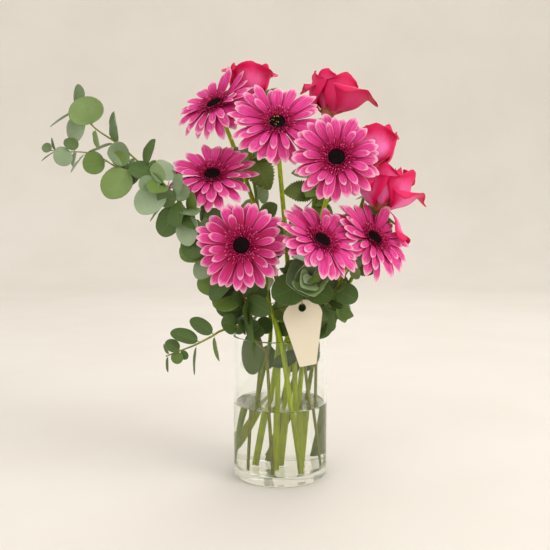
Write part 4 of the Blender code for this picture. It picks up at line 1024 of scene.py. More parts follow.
def settled(piece, slot, *nodes):
    """The piece rides with the part and stands for its CAD nodes, which are hidden. Its slot is
    not used.
    """
    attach(piece, BODY)
    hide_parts(*nodes)


def mm(point):
    return Vector(point) * MM


def turned(vector, axis, angle):
    return Matrix.Rotation(angle, 3, axis) @ vector


def square_to(vector, axis):
    return (vector - axis * vector.dot(axis)).normalized()


def smooth_step(value):
    value = min(max(value, 0.0), 1.0)
    return value * value * (3.0 - 2.0 * value)


def tapered(count, wide, thin):
    return [wide + (thin - wide) * step / (count - 1) for step in range(count)]


def box_of(points):
    low = Vector(min(point[axis] for point in points) for axis in range(3))
    high = Vector(max(point[axis] for point in points) for axis in range(3))
    return low, high


class Room:
    """The finished pieces, so that a petal or leaf can be set clear of them."""

    def __init__(self):
        self.trees = {}

    def add(self, obj):
        points = [vertex.co.copy() for vertex in obj.data.vertices]
        faces = [tuple(face.vertices) for face in obj.data.polygons]
        self.trees[obj.name] = (BVHTree.FromPolygons(points, faces), *box_of(points))

    def swap(self, name, obj):
        """Puts a dressed piece in the place of its bare one."""
        del self.trees[name]
        self.add(obj)

    def clear(self, points, faces, own, others=()):
        """Whether a shape meets no piece but its own, and none of some other trees."""
        low, high = box_of(points)
        shape = BVHTree.FromPolygons(points, faces)
        for name, (tree, tree_low, tree_high) in self.trees.items():
            apart = any(low[a] > tree_high[a] or high[a] < tree_low[a] for a in range(3))
            if name == own or apart:
                continue
            if shape.overlap(tree):
                return False
            if any(tree.find_nearest(point, LEAST_ROOM)[0] is not None for point in points):
                return False
        return not any(shape.overlap(tree) for tree in others)


room = Room()


def grid_faces(rows, columns):
    """Four-sided faces over a grid of points that is stored row by row."""
    starts = [row * columns + column for row in range(rows - 1) for column in range(columns - 1)]
    return [(a, a + 1, a + columns + 1, a + columns) for a in starts]


def strip(line, first=0):
    """A plain trough with the reach of a line's blade, to look for room with."""
    points = []
    for index in range(first, len(line.points)):
        before = line.points[max(index - 1, 0)]
        after = line.points[min(index + 1, len(line.points) - 1)]
        side = (after - before).normalized().cross(line.uppers[index])
        for across in (-1.0, -0.5, 0.0, 0.5, 1.0):
            sideways = side * across + line.uppers[index] * (line.cup * across * across)
            points.append(line.points[index] + sideways * line.halves[index])
    return points, grid_faces(len(points) // 5, 5)


def waist_place(slot):
    ring, angle = slot
    radius = WAIST_RING[ring]
    turn = math.radians(angle)
    return Vector((radius * math.cos(turn), radius * math.sin(turn), 0.0))


def lean_place(slot, height):
    """Where a stem of the bunch passes a height below the waist."""
    at_waist = waist_place(slot)
    down = (WAIST_Z - height) / WAIST_TWIST
    x = at_waist.x - down * at_waist.y
    y = at_waist.y + down * at_waist.x
    share = (height - STEM_FOOT) / (WAIST_Z - STEM_FOOT)
    place = Vector((x, y, 0.0)) + WAIST_CENTRE * share
    place.z = height
    return place


def bend_route(slot, end, facing, steps=22):
    """From the foot through the waist to the neck of a flower."""
    foot = lean_place(slot, STEM_FOOT + FOOT_LIFT)
    waist = lean_place(slot, WAIST_Z)
    lean = (waist - foot).normalized()
    span = (end - waist).length
    first = waist + lean * min(WAIST_HANDLE, span * 0.35)
    second = end - facing * min(NECK_HANDLE, span * 0.4)
    route = [foot + (waist - foot) * share for share in (0.0, 0.02, 0.25, 0.5, 0.75, 1.0)]
    for step in range(1, steps + 1):
        share = step / steps
        rest = 1.0 - share
        point = waist * rest**3
        point += first * (3 * rest**2 * share)
        point += second * (3 * rest * share**2)
        point += end * share**3
        route.append(point)
    return route


def rounded(points, steps):
    """A smooth run of points through the given ones."""
    ends = [points[0] * 2 - points[1]] + points + [points[-1] * 2 - points[-2]]
    run = []
    for before, start, stop, after in zip(ends, ends[1:], ends[2:], ends[3:]):
        for step in range(steps):
            t = step / steps
            point = start * 2 + (stop - before) * t
            point += (before * 2 - start * 5 + stop * 4 - after) * t * t
            point += (start * 3 - before - stop * 3 + after) * t**3
            run.append(point * 0.5)
    return run + [points[-1]]


def along_route(route, share):
    lengths = [(b - a).length for a, b in zip(route, route[1:])]
    left = share * sum(lengths)
    for a, b, length in zip(route, route[1:], lengths):
        if left <= length or b is route[-1]:
            return a + (b - a) * min(left / length, 1.0), (b - a).normalized()
        left -= length


def stem_line(route, radii, shade=0.5):
    """A guide line for a stem, with its upper side carried along without a twist."""
    uppers = []
    across = None
    for index in range(len(route)):
        before = route[max(index - 1, 0)]
        after = route[min(index + 1, len(route) - 1)]
        along = (after - before).normalized()
        across = square_to(across or Vector((0.3, -1.0, 0.1)), along)
        uppers.append(across)
    return Line(route, uppers, radii, shade)


def head_frame(facing):
    """The axis of a gerbera head, and its upward and sideways ways."""
    out = Vector(facing).normalized()
    rise = square_to(UP, out)
    return out, rise, rise.cross(out)


def rose_frame(facing):
    """The axis of a rose head, and the headings of 0 and 90 degrees."""
    out = Vector(facing).normalized()
    first = square_to(Vector((1.0, 0.0, 0.0)), out)
    return out, first, out.cross(first)


def around(axes, angle):
    """The way at an angle round the first of three axes."""
    return axes[1] * math.cos(angle) + axes[2] * math.sin(angle)


def object_from(shape, name, mesh=None, smooth=True):
    """An object made of a bmesh, with its faces turned outward."""
    bmesh.ops.recalc_face_normals(shape, faces=shape.faces)
    for face in shape.faces:
        face.smooth = smooth
    mesh = mesh or bpy.data.meshes.new(name)
    shape.to_mesh(mesh)
    shape.free()
    return new_object(name, mesh)


def turned_mesh(name, profile, sides, material, place=ORIGIN, axes=UPRIGHT):
    """A smooth solid turned from (radius, height) points that start and end on the axis."""
    shape = bmesh.new()
    rings = []
    for radius, height in profile:
        if radius == 0.0:
            rings.append([shape.verts.new(place + axes[0] * height)])
            continue
        ring = []
        for side in range(sides):
            way = around(axes, 2 * math.pi * side / sides)
            ring.append(shape.verts.new(place + way * radius + axes[0] * height))
        rings.append(ring)
    for low, high in zip(rings, rings[1:]):
        for side in range(sides):
            after = (side + 1) % sides
            if len(low) == 1:
                shape.faces.new((low[0], high[side], high[after]))
            elif len(high) == 1:
                shape.faces.new((low[side], low[after], high[0]))
            else:
                shape.faces.new((low[side], low[after], high[after], high[side]))
    made = object_from(shape, name)
    made.data.materials.append(material)
    return made


def arc(centre, radius, start, stop, steps):
    """Points of an arc in a turned profile, its angles in degrees."""
    found = []
    for step in range(steps + 1):
        angle = math.radians(start + (stop - start) * step / steps)
        found.append((
            centre[0] + radius * math.cos(angle), centre[1] + radius * math.sin(angle)
        ))
    return found


class FLOWERS_OT_vase(bpy.types.Operator):
    """Blow the glass cylinder with its thick floor and rounded rim"""

    bl_idname = "flowers.vase"
    bl_label = "Vase"

    def execute(self, context):
        look = context.scene.vase_look
        outer, inner, rim = look.radius, look.radius - look.wall, look.wall / 2
        profile = [(0.0, 0.0), (outer - FOOT_EDGE - HOLD, 0.0)]
        profile += arc((outer - FOOT_EDGE, FOOT_EDGE), FOOT_EDGE, -90, 0, 5)
        profile += [(outer, FOOT_EDGE + HOLD), (outer, look.height - rim - HOLD)]
        profile += arc((outer - rim, look.height - rim), rim, 0, 180, 8)
        profile += [(inner, look.height - rim - HOLD), (inner, look.floor + FLOOR_FILLET + HOLD)]
        profile += arc((inner - FLOOR_FILLET, look.floor + FLOOR_FILLET), FLOOR_FILLET, 0, -90, 6)
        profile += [(inner - FLOOR_FILLET - HOLD, look.floor), (0.0, look.floor)]
        glass = clear_material("clear_glass", look.glass_tint, GLASS_IOR)
        vase = turned_mesh("vase_glass", profile, ROUND_SIDES, glass)
        settled(vase, "glass", "vase")
        room.add(vase)
        return {"FINISHED"}


class FLOWERS_OT_water(bpy.types.Operator):
    """Fill the vase with water that wets the glass and creeps up it a little"""

    bl_idname = "flowers.water"
    bl_label = "Water"

    def execute(self, context):
        look = context.scene.vase_look
        reach = look.radius - look.wall + WATER_OVERLAP
        low, top = look.floor - WATER_OVERLAP, look.water_top
        profile = [(0.0, low), (reach - FLOOR_FILLET - HOLD, low)]
        profile += arc((reach - FLOOR_FILLET, low + FLOOR_FILLET), FLOOR_FILLET, -90, 0, 6)
        profile += [(reach, low + FLOOR_FILLET + HOLD)]
        profile += [(reach - inward * MM, top + rise * MM) for inward, rise in MENISCUS]
        profile += [(0.0, profile[-1][1])]
        clear = clear_material("clear_water", look.water_tint, WATER_IOR)
        water = turned_mesh("vase_water", profile, ROUND_SIDES, clear)
        settled(water, "water", "water")
        return {"FINISHED"}


def flower_route(flower, below):
    """The route of a flower's stem to a point below its head."""
    out = Vector(flower.facing).normalized()
    return bend_route(flower.slot, mm(flower.middle) - out * below, out)


def gerbera_route(number):
    return flower_route(GERBERAS[number], CUP_DEPTH)


def rose_route(number):
    return flower_route(ROSES[number], ROSE_HIP)


class FLOWERS_OT_gerbera_stems(bpy.types.Operator):
    """Grow the gerbera stems with the cup of bracts under each head"""

    bl_idname = "flowers.gerbera_stems"
    bl_label = "Gerbera stems"

    def execute(self, context):
        look = context.scene.gerbera_look
        chance = random.Random(SEED)
        green = stem_material("gerbera_stem", colour_of(look.green), GERBERA_STEM_DARK)
        for number, flower in GERBERAS.items():
            axes = head_frame(flower.facing)
            out = axes[0]
            seat = mm(flower.middle)
            route = gerbera_route(number)
            radii = tapered(len(route), look.stem, look.neck)
            route += [seat - out * CUP_DEPTH * depth for depth, share in CUP_LEVELS]
            radii += [CUP_RADIUS * share for depth, share in CUP_LEVELS]
            stem = swept("stem", [stem_line(route, radii)], green, GERBERA_SECTION)
            bracts = []
            for row, (count, foot, tip, reach) in enumerate(BRACT_ROWS):
                for place in range(count):
                    angle = 2 * math.pi * (place + row * 0.5) / count + chance.uniform(-0.06, 0.06)
                    way = around(axes, angle)
                    points = []
                    for share in BRACT_LEVELS:
                        depth = foot + (tip - foot) * share
                        bulge = math.sin(share * math.pi / 2) ** 0.8
                        wide = BRACT_FOOT + (reach - BRACT_FOOT) * bulge
                        points.append(seat - out * CUP_DEPTH * depth + way * CUP_RADIUS * wide)
                    uppers = [(way + out * -0.5).normalized()] * len(points)
                    bracts.append(Line(points, uppers, BRACT_HALVES, chance.random()))
            bracts = swept("bracts", bracts, green, BRACT_BLADE)
            stem = joined(f"gerbera_{number}_stalk", [stem, bracts])
            settled(stem, "gerbera_green", f"gerbera_{number}_stem")
            room.add(stem)
        return {"FINISHED"}


def toothed_halves(width):
    halves = []
    for index, share in enumerate(TOOTH_STATIONS):
        full = math.sin(math.pi * min(share, 0.999) ** 0.85) ** 0.75
        tooth = 1.0 if index % 2 else 0.86
        halves.append(max(width / 2 * full * tooth, 0.25 * MM))
    return halves


def round_halves(width):
    halves = []
    for share in ROUND_STATIONS:
        if share <= LEAF_STALK:
            halves.append(0.55 * MM)
            continue
        part = (share - LEAF_STALK) / (1.0 - LEAF_STALK)
        full = max(1.0 - (2.0 * part - 1.0) ** 2, 0.0) ** 0.52 * (1.04 - 0.10 * part)
        halves.append(max(width / 2 * full, 0.3 * MM))
    return halves


# Each kind of leaf: places along its middle line, and what gives half its width at each.
LEAF_KINDS = {"toothed": (TOOTH_STATIONS, toothed_halves), "round": (ROUND_STATIONS, round_halves)}


def leaf_line(root, reach, width, turn, kind, bow, shade, cup):
    """A leaf's middle line from its root on the stem."""
    stations, halves_of = LEAF_KINDS[kind]
    length = reach.length
    along = reach.normalized()
    upper = turned(square_to(Vector((0.0, -1.0, 0.35)), along), along, turn)
    points = []
    uppers = []
    for share in stations:
        points.append(root + along * (share * length) - upper * (bow * length * share * share))
        uppers.append((upper + along * (2.0 * bow * share)).normalized())
    return Line(points, uppers, halves_of(width), shade, list(stations), cup)


def settled_leaf(root, entry, kind, own, shade, others=(), bow=LEAF_BOW, cup=LEAF_CUP):
    """A leaf at its place, swung or shortened by small steps until it is clear."""
    reach, width, turn = entry
    reach = mm(reach)
    sideways = square_to(UP, reach.normalized())
    upright = reach.normalized().cross(sideways)
    for swing, nod, size in LEAF_TRIES:
        way = turned(reach, sideways, math.radians(swing))
        way = turned(way, upright, math.radians(nod))
        spin = math.radians(turn + nod * 0.5)
        line = leaf_line(root, way * size, width * MM * size, spin, kind, bow, shade, cup)
        if room.clear(*strip(line), own, others):
            return line
    if others:
        return settled_leaf(root, entry, kind, own, shade, (), bow, cup)
    return None


def settled_leaves(route, entries, kind, own, chance, cup, shades=(), bow=LEAF_BOW):
    """Leaves along a stem, painted darker and duller low down in the bunch as painted shade,
    unless shades are given.
    """
    found = []
    spread = []
    for place, (share, *entry) in enumerate(entries):
        root = along_route(route, share)[0]
        # Painted shade: a leaf's random shade is scaled down the lower its root sits in the bunch.
        painted_light = LEAST_PAINTED_LIGHT + 0.70 * smooth_step((root.z - NECK_TOP) / BRIGHT_RISE)
        shade = chance.random() * painted_light
        if place < len(shades):
            shade = shades[place]
        hollow = cup * chance.uniform(0.6, 1.5)
        line = settled_leaf(root, entry, kind, own, shade, spread, bow, hollow)
        if line:
            found.append(line)
            spread.append(BVHTree.FromPolygons(*strip(line, 2)))
    return found


def filling_leaves(name, route, kind, own, chance):
    """Smaller leaves that fill the bunch along one stem, in whatever room is left there."""
    count, low, high, length, width = FILLING[name]
    shares = [step / FILLING_STEPS for step in range(FILLING_STEPS)]
    found = []
    spread = []
    for place in range(count):
        height = (low + (high - low) * (place + chance.random()) / count) * MM
        share = next((share for share in shares if along_route(route, share)[0].z > height), None)
        if share is None:
            continue
        root = along_route(route, share)[0]
        angle = place * FILLING_TURN + chance.uniform(-0.5, 0.5)
        reach = Vector((math.cos(angle), math.sin(angle), chance.uniform(-0.7, 0.5)))
        size = chance.uniform(0.75, 1.1)
        reach = reach.normalized() * length * size
        entry = (reach, width * size, chance.uniform(-40.0, 40.0))
        # Painted shade: the lower a filling leaf's root, the darker its random shade.
        light = LEAST_PAINTED_LIGHT + 0.60 * smooth_step((height - NECK_TOP) / (2.0 * BRIGHT_RISE))
        line = settled_leaf(root, entry, kind, own, chance.random() * light, spread)
        if line:
            found.append(line)
            spread.append(BVHTree.FromPolygons(*strip(line, 2)))
    return found


class FLOWERS_OT_rose_stems(bpy.types.Operator):
    """Grow the rose stems with their nodes, thorns and swollen hip"""

    bl_idname = "flowers.rose_stems"
    bl_label = "Rose stems"

    def execute(self, context):
        look = context.scene.rose_look
        chance = random.Random(SEED + 1)
        green = stem_material("rose_stem", colour_of(look.green), ROSE_STEM_DARK)
        for number, flower in ROSES.items():
            out = Vector(flower.facing).normalized()
            route = rose_route(number)
            radii = []
            for step in range(len(route)):
                swell = NODE_SWELL if step in ROSE_NODES else 1.0
                radii.append(look.stem * (1.0 - 0.010 * step) * swell)
            route += [mm(flower.middle) - out * ROSE_HIP * share for share in HIP_LEVELS]
            radii += HIP_RADII
            stem = swept("stem", [stem_line(route, radii)], green, ROSE_SECTION)
            thorns = []
            for share in THORNS:
                root, along = along_route(route, share + chance.uniform(-0.03, 0.03))
                angle = chance.uniform(0.0, 2 * math.pi)
                way = turned(square_to(Vector((1.0, 0.2, 0.0)), along), along, angle)
                points = [
                    root + way * 1.6 * MM, root + way * 3.6 * MM - along * 0.3 * MM,
                    root + way * 5.4 * MM - along * 1.4 * MM,
                ]
                thorns.append(Line(points, [along] * 3, [1.5 * MM, 0.7 * MM, 0.05 * MM]))
            thorns = swept("thorns", thorns, green, THORN_BLADE)
            room.add(joined(f"rose_{number}_stalk", [stem, thorns]))
        return {"FINISHED"}


def twig_route(sprig):
    """The straight foot of a eucalyptus stem, and the rest of it from the waist up."""
    foot = lean_place(sprig.slot, STEM_FOOT + FOOT_LIFT)
    waist = lean_place(sprig.slot, WAIST_Z)
    below = [foot + (waist - foot) * share for share in (0.0, 0.02, 0.35, 0.7)]
    return below, rounded([waist] + [mm(point) for point in sprig.route], 4)


def arm_route():
    return rounded([mm(point) for point in ARM_ROUTE], 3)


class FLOWERS_OT_twigs(bpy.types.Operator):
    """Grow the thin woody stems of the eucalyptus"""

    bl_idname = "flowers.twigs"
    bl_label = "Eucalyptus stems"

    def execute(self, context):
        look = context.scene.eucalyptus_look
        bark = stem_material("eucalyptus_twig", colour_of(look.twig), TWIG_DARK)
        for name, sprig in EUCALYPTUS.items():
            below, above = twig_route(sprig)
            route = below + above
            lines = [stem_line(route, tapered(len(route), look.stem, sprig.thin))]
            if name == SPRAY:
                arm = arm_route()
                lines.append(stem_line(arm, tapered(len(arm), *ARM_RADII)))
            room.add(swept(f"{name}_twig", lines, bark, TWIG_SECTION))
        return {"FINISHED"}


def tag_frame():
    """The middle of the tag's foot, the way it faces, its right hand and its upward way."""
    out = Vector((math.sin(TAG_TURN), -math.cos(TAG_TURN), 0.0))
    right = Vector((math.cos(TAG_TURN), math.sin(TAG_TURN), 0.0))
    foot = out * TAG_OFF_AXIS + right * TAG_SIDEWAYS
    foot.z = TAG_FOOT_Z
    rise = UP * math.cos(TAG_LEAN) - right * math.sin(TAG_LEAN)
    across = right * math.cos(TAG_LEAN) + UP * math.sin(TAG_LEAN)
    return foot, out, across, rise


class FLOWERS_OT_tag(bpy.types.Operator):
    """Cut the blank card tag with its round head and punched hole"""

    bl_idname = "flowers.tag"
    bl_label = "Tag"

    def execute(self, context):
        foot, out, across, rise = tag_frame()
        half = TAG_FOOT_WIDTH / 2
        corner, chamfer = TAG_CORNER, TAG_CORNER * 0.3
        outline = [
            (-half, corner), (-half + chamfer, chamfer), (-half + corner, 0.0),
            (half - corner, 0.0), (half - chamfer, chamfer), (half, corner),
        ]
        for step in range(TAG_STEPS + 1):
            angle = math.pi * step / TAG_STEPS
            outline.append((
                TAG_TOP_WIDTH / 2 * math.cos(angle),
                TAG_HEIGHT - TAG_SHOULDER + TAG_SHOULDER * math.sin(angle),
            ))
        hole_y = TAG_HEIGHT - TAG_HOLE_DOWN
        hole = []
        for step in range(HOLE_STEPS):
            angle = 2 * math.pi * step / HOLE_STEPS
            hole.append((TAG_HOLE * math.cos(angle), hole_y + TAG_HOLE * math.sin(angle)))
        shape = bmesh.new()
        for loop in (outline, hole):
            corners = [shape.verts.new(foot + across * x + rise * y) for x, y in loop]
            for index, point in enumerate(corners):
                shape.edges.new((point, corners[(index + 1) % len(corners)]))
        bmesh.ops.triangle_fill(shape, edges=shape.edges, use_beauty=True)
        inside = foot + rise * hole_y
        spare = [
            face for face in shape.faces
            if (face.calc_center_median() - inside).length < TAG_HOLE * 0.95
        ]
        bmesh.ops.delete(shape, geom=spare, context="FACES")
        thickness = out * (TAG_THICKNESS / 2)
        pushed = bmesh.ops.extrude_face_region(shape, geom=shape.faces[:])
        for vertex in shape.verts:
            vertex.co -= thickness
        for item in pushed["geom"]:
            if isinstance(item, bmesh.types.BMVert):
                item.co += thickness * 2
        # Filling and extruding leave the corners, edges and faces in a new order each time.
        shape.verts.sort(key=lambda vertex: vertex.co.dot(TAG_ORDER))
        shape.edges.sort(key=lambda edge: sum(end.co.dot(TAG_ORDER) for end in edge.verts))
        shape.faces.sort(key=lambda face: face.calc_center_median().dot(TAG_ORDER))
        tag = object_from(shape, "tag_card", smooth=False)
        edge = tag.modifiers.new("edge", "BEVEL")
        edge.width = TAG_EDGE
        edge.segments = 2
        edge.limit_method = "ANGLE"
        edge.angle_limit = math.radians(60)
        tag.data.materials.append(card_material(context.scene.tag_look))
        settled(tag, "tag_cream", "tag")
        room.add(tag)
        return {"FINISHED"}


def tie_height(x):
    return TIE_HEIGHT + TIE_SLOPE * min(x, TIE_LEVEL_X)


def tie_crossing(route, radius):
    for a, b in zip(route, route[1:]):
        over_a = a.z - tie_height(a.x)
        over_b = b.z - tie_height(b.x)
        if over_a < 0.0 <= over_b:
            return a + (b - a) * (over_a / (over_a - over_b)), radius
    return None


def tag_passing():
    """Where the twine runs through the tag's hole and over its top."""
    foot, out, _, rise = tag_frame()
    slack = TIE_CORD + TIE_GAP
    hold = foot + rise * (TAG_HEIGHT - TAG_HOLE_DOWN + TAG_HOLE - slack)
    over = TAG_HOLE_DOWN - TAG_HOLE + 2 * slack
    front = TAG_THICKNESS / 2 + slack
    return [
        hold - out * 5 * MM, hold - out * 1.5 * MM, hold + out * front,
        hold + out * front + rise * (over - slack), hold + rise * (over + TIE_GAP),
        hold - out * front + rise * (over - slack), hold - out * 6 * MM + rise * 4 * MM,
    ]


def tie_loop(crossings):
    """The closed way of the twine round the outermost stems and through the tag."""
    passing = tag_passing()
    loop = []
    passed = False
    for step in range(TIE_STEPS):
        angle = 2 * math.pi * step / TIE_STEPS
        way = Vector((math.cos(angle), math.sin(angle), 0.0))
        best, radius = max(crossings, key=lambda item: item[0].dot(way) + item[1])
        if passing[0].dot(way) > best.dot(way) + radius:
            if not passed:
                loop += passing
                passed = True
            continue
        point = best + way * (radius * TIE_ROOM + TIE_CORD + TIE_GAP)
        point.z = tie_height(point.x)
        loop.append(point)
    return loop


class FLOWERS_OT_twine(bpy.types.Operator):
    """Tie two twisted strands of twine round the bunch and through the tag"""

    bl_idname = "flowers.twine"
    bl_label = "Twine"

    def execute(self, context):
        look = context.scene.tag_look
        stems = [(gerbera_route(number), GERBERA_STEM) for number in GERBERAS]
        stems += [(rose_route(number), ROSE_STEM) for number in ROSES]
        for name, sprig in EUCALYPTUS.items():
            if name != LOWEST:
                stems.append((twig_route(sprig)[1], TWIG_RADIUS))
        crossings = [tie_crossing(route, radius) for route, radius in stems]
        crossings = [crossing for crossing in crossings if crossing]
        path = []
        loop = tie_loop(crossings)
        for index, a in enumerate(loop):
            b = loop[(index + 1) % len(loop)]
            pieces = max(2, round((b - a).length / STRAND_STEP))
            path += [a + (b - a) * (piece / pieces) for piece in range(pieces)]
        lines = []
        for strand in (0, 1):
            points = []
            uppers = []
            travelled = 0.0
            for index, place in enumerate(path + path[:3]):
                before = path[(index - 1) % len(path)]
                after = path[(index + 1) % len(path)]
                along = (after - before).normalized()
                side = square_to(UP if abs(along.z) < 0.8 else Vector((0.3, -1.0, 0.0)), along)
                travelled += (after - before).length / 2
                angle = travelled / STRAND_LAY * 2 * math.pi + math.pi * strand
                way = turned(side, along, angle)
                points.append(place + way * look.strand * 0.8)
                uppers.append(way)
            lines.append(Line(points, uppers, [look.strand] * len(points), 0.3 + 0.5 * strand))
        twine = swept("twine_strands", lines, twine_material(look), STRAND_SECTION)
        settled(twine, "twine_brown", "twine_tie")
        room.add(twine)
        return {"FINISHED"}


# Rose petals by layer, from the middle out: how many, the first one's heading and half of the
# spread in degrees, and (radius, height) at four levels when shut and when open, as shares of
# the head's radius.
ROSE_LAYERS = (
    (2, 25, 96, ((0.14, 0.34), (0.20, 0.62), (0.19, 0.88), (0.07, 1.04)),
     ((0.14, 0.34), (0.21, 0.60), (0.22, 0.84), (0.12, 1.00))),
    (3, 80, 72, ((0.17, 0.28), (0.27, 0.60), (0.27, 0.88), (0.15, 1.08)),
     ((0.17, 0.28), (0.29, 0.56), (0.33, 0.84), (0.26, 1.02))),
    (3, 20, 66, ((0.19, 0.20), (0.35, 0.54), (0.36, 0.84), (0.23, 1.10)),
     ((0.19, 0.20), (0.40, 0.52), (0.47, 0.80), (0.44, 1.02))),
    (3, 60, 62, ((0.18, 0.12), (0.43, 0.42), (0.46, 0.78), (0.34, 1.12)),
     ((0.18, 0.12), (0.50, 0.40), (0.62, 0.76), (0.66, 1.02))),
    (3, 15, 62, ((0.17, 0.05), (0.50, 0.28), (0.56, 0.66), (0.48, 1.06)),
     ((0.17, 0.05), (0.54, 0.28), (0.68, 0.66), (0.84, 1.02))),
)
# A petal that has opened away from the head: shares of its reach and of its height, by level.
OPENED_PETAL = ((0.0, 0.0), (0.52, 0.40), (0.82, 0.90), (1.0, 1.0))
OPENED_ROOT = (0.17, 0.06)
OPENED_SPREAD = 50.0
OPENED_CURL = 0.06
PETAL_FOLDS = (0.0, 0.02, 0.05, 0.09, 0.13)
PETAL_ROWS = 16
PETAL_COLUMNS = 17


def level_at(levels, share):
    """A smooth place between the levels of a petal."""
    ends = [2 * a - b for a, b in zip(levels[0], levels[1])]
    past = [2 * a - b for a, b in zip(levels[3], levels[2])]
    run = [ends] + [list(level) for level in levels] + [past]
    spot = min(share * 3, 2.9999)
    piece = int(spot)
    t = spot - piece
    found = []
    for axis in (0, 1):
        a, b, c, d = (run[piece + step][axis] for step in range(4))
        value = 2 * b + (c - a) * t + (2 * a - 5 * b + 4 * c - d) * t * t
        value += (3 * b - a - 3 * c + d) * t**3
        found.append(value / 2)
    return found


def rose_petal(seat, axes, radius, heading, spread, levels, swirl, curl, shade):
    """Points, faces and surface values of one petal, a thin shell round the head's axis. Its
    lip runs to a point in the middle and rolls outward beside it."""
    out = axes[0]
    grid = []
    for row in range(PETAL_ROWS):
        share = row / (PETAL_ROWS - 1)
        reach, height = level_at(levels, share)
        open_wide = 0.22 + 0.80 * math.sin(min(share * 1.25, 1.0) * math.pi / 2) ** 0.9
        narrow = 1.0 - 0.34 * smooth_step((share - 0.72) / 0.28) ** 2
        lip = smooth_step((share - 0.66) / 0.34)
        line = []
        for column in range(PETAL_COLUMNS):
            x = column / (PETAL_COLUMNS - 1) * 2.0 - 1.0
            way = around(axes, math.radians(heading + spread * open_wide * narrow * x))
            side = smooth_step(abs(x) * 1.25)
            roll = curl * lip * lip * (0.45 + 0.75 * side)
            ripple = 0.045 * lip * math.sin(x * 4.6 + heading)
            crease = abs(math.sin(x * 2.6 + share * 2.2 + heading * 0.7)) - 0.5
            buckle = 0.055 * crease * (0.25 + lip)
            far = reach * (1.0 + swirl * x) + roll + ripple * 0.6 + buckle
            low = (0.20 * abs(x) ** 1.35 + curl * 0.5 * side) * lip**1.6
            tall = height - low + ripple * 0.3
            line.append(seat + (way * far + out * tall) * radius)
        grid.append(line)
    normals = []
    for row in range(PETAL_ROWS):
        line = []
        for column in range(PETAL_COLUMNS):
            down = grid[max(row - 1, 0)][column]
            up = grid[min(row + 1, PETAL_ROWS - 1)][column]
            left = grid[row][max(column - 1, 0)]
            side = grid[row][min(column + 1, PETAL_COLUMNS - 1)]
            line.append((up - down).cross(side - left).normalized())
        normals.append(line)
    points = []
    values = []
    middle = normals[PETAL_ROWS // 2][PETAL_COLUMNS // 2]
    inward = seat + out * radius * 0.5 - grid[PETAL_ROWS // 2][PETAL_COLUMNS // 2]
    facing = 1.0 if middle.dot(inward) > 0 else -1.0
    for sign in (1.0, -1.0):
        for row in range(PETAL_ROWS):
            for column in range(PETAL_COLUMNS):
                half = normals[row][column] * (PETAL_THICKNESS / 2 * sign)
                points.append(grid[row][column] + half)
                x = column / (PETAL_COLUMNS - 1) * 2.0 - 1.0
                values.append((row / (PETAL_ROWS - 1), x, sign * facing, shade))
    behind = PETAL_ROWS * PETAL_COLUMNS
    faces = []
    for front in grid_faces(PETAL_ROWS, PETAL_COLUMNS):
        faces.append(front)
        faces.append(tuple(behind + corner for corner in reversed(front)))
    last = (PETAL_ROWS - 1) * PETAL_COLUMNS
    rim = list(range(PETAL_COLUMNS))
    rim += [row * PETAL_COLUMNS + PETAL_COLUMNS - 1 for row in range(1, PETAL_ROWS)]
    rim += [last + column for column in range(PETAL_COLUMNS - 2, -1, -1)]
    rim += [row * PETAL_COLUMNS for row in range(PETAL_ROWS - 2, 0, -1)]
    for place, a in enumerate(rim):
        b = rim[(place + 1) % len(rim)]
        faces.append((b, a, behind + a, behind + b))
    return points, faces, values


def petal_outline(points):
    """Half of a petal's shell, coarse enough to look for room with."""
    rows = range(0, PETAL_ROWS, 3)
    columns = range(0, PETAL_COLUMNS, 2)
    picked = [points[row * PETAL_COLUMNS + column] for row in rows for column in columns]
    return picked, grid_faces(len(rows), len(columns))


def value_mesh(name, points, faces, values):
    """A smooth mesh whose points carry along, across, face and shade."""
    mesh = bpy.data.meshes.new(name)
    mesh.from_pydata(points, [], faces)
    for index, label in enumerate(("along", "across", "face", "shade")):
        layer = mesh.attributes.new(label, "FLOAT", "POINT")
        layer.data.foreach_set("value", [value[index] for value in values])
    shape = bmesh.new()
    shape.from_mesh(mesh)
    return object_from(shape, name, mesh)


def petals_of(flower, chance):
    """Heading, spread, levels, swirl and curl of each petal of a rose, from the bud outwards."""
    petals = []
    for layer, (count, first, spread, shut, wide) in enumerate(ROSE_LAYERS):
        for petal in range(count):
            heading = flower.twist + first + 360.0 * petal / count + chance.uniform(-7.0, 7.0)
            levels = [
                (a[0] + (b[0] - a[0]) * flower.openness, a[1] + (b[1] - a[1]) * flower.openness)
                for a, b in zip(shut, wide)
            ]
            curl = PETAL_FOLDS[layer] * (0.7 + flower.openness)
            petals.append((heading, spread, levels, 0.12 - 0.012 * layer, curl))
    for heading, reach, lift in flower.opened:
        first, low = OPENED_ROOT
        levels = [
            (first + (reach - first) * out_share, low + (lift - low) * up_share)
            for out_share, up_share in OPENED_PETAL
        ]
        petals.append((heading, OPENED_SPREAD * min(reach, 1.0), levels, 0.0, OPENED_CURL))
    return petals


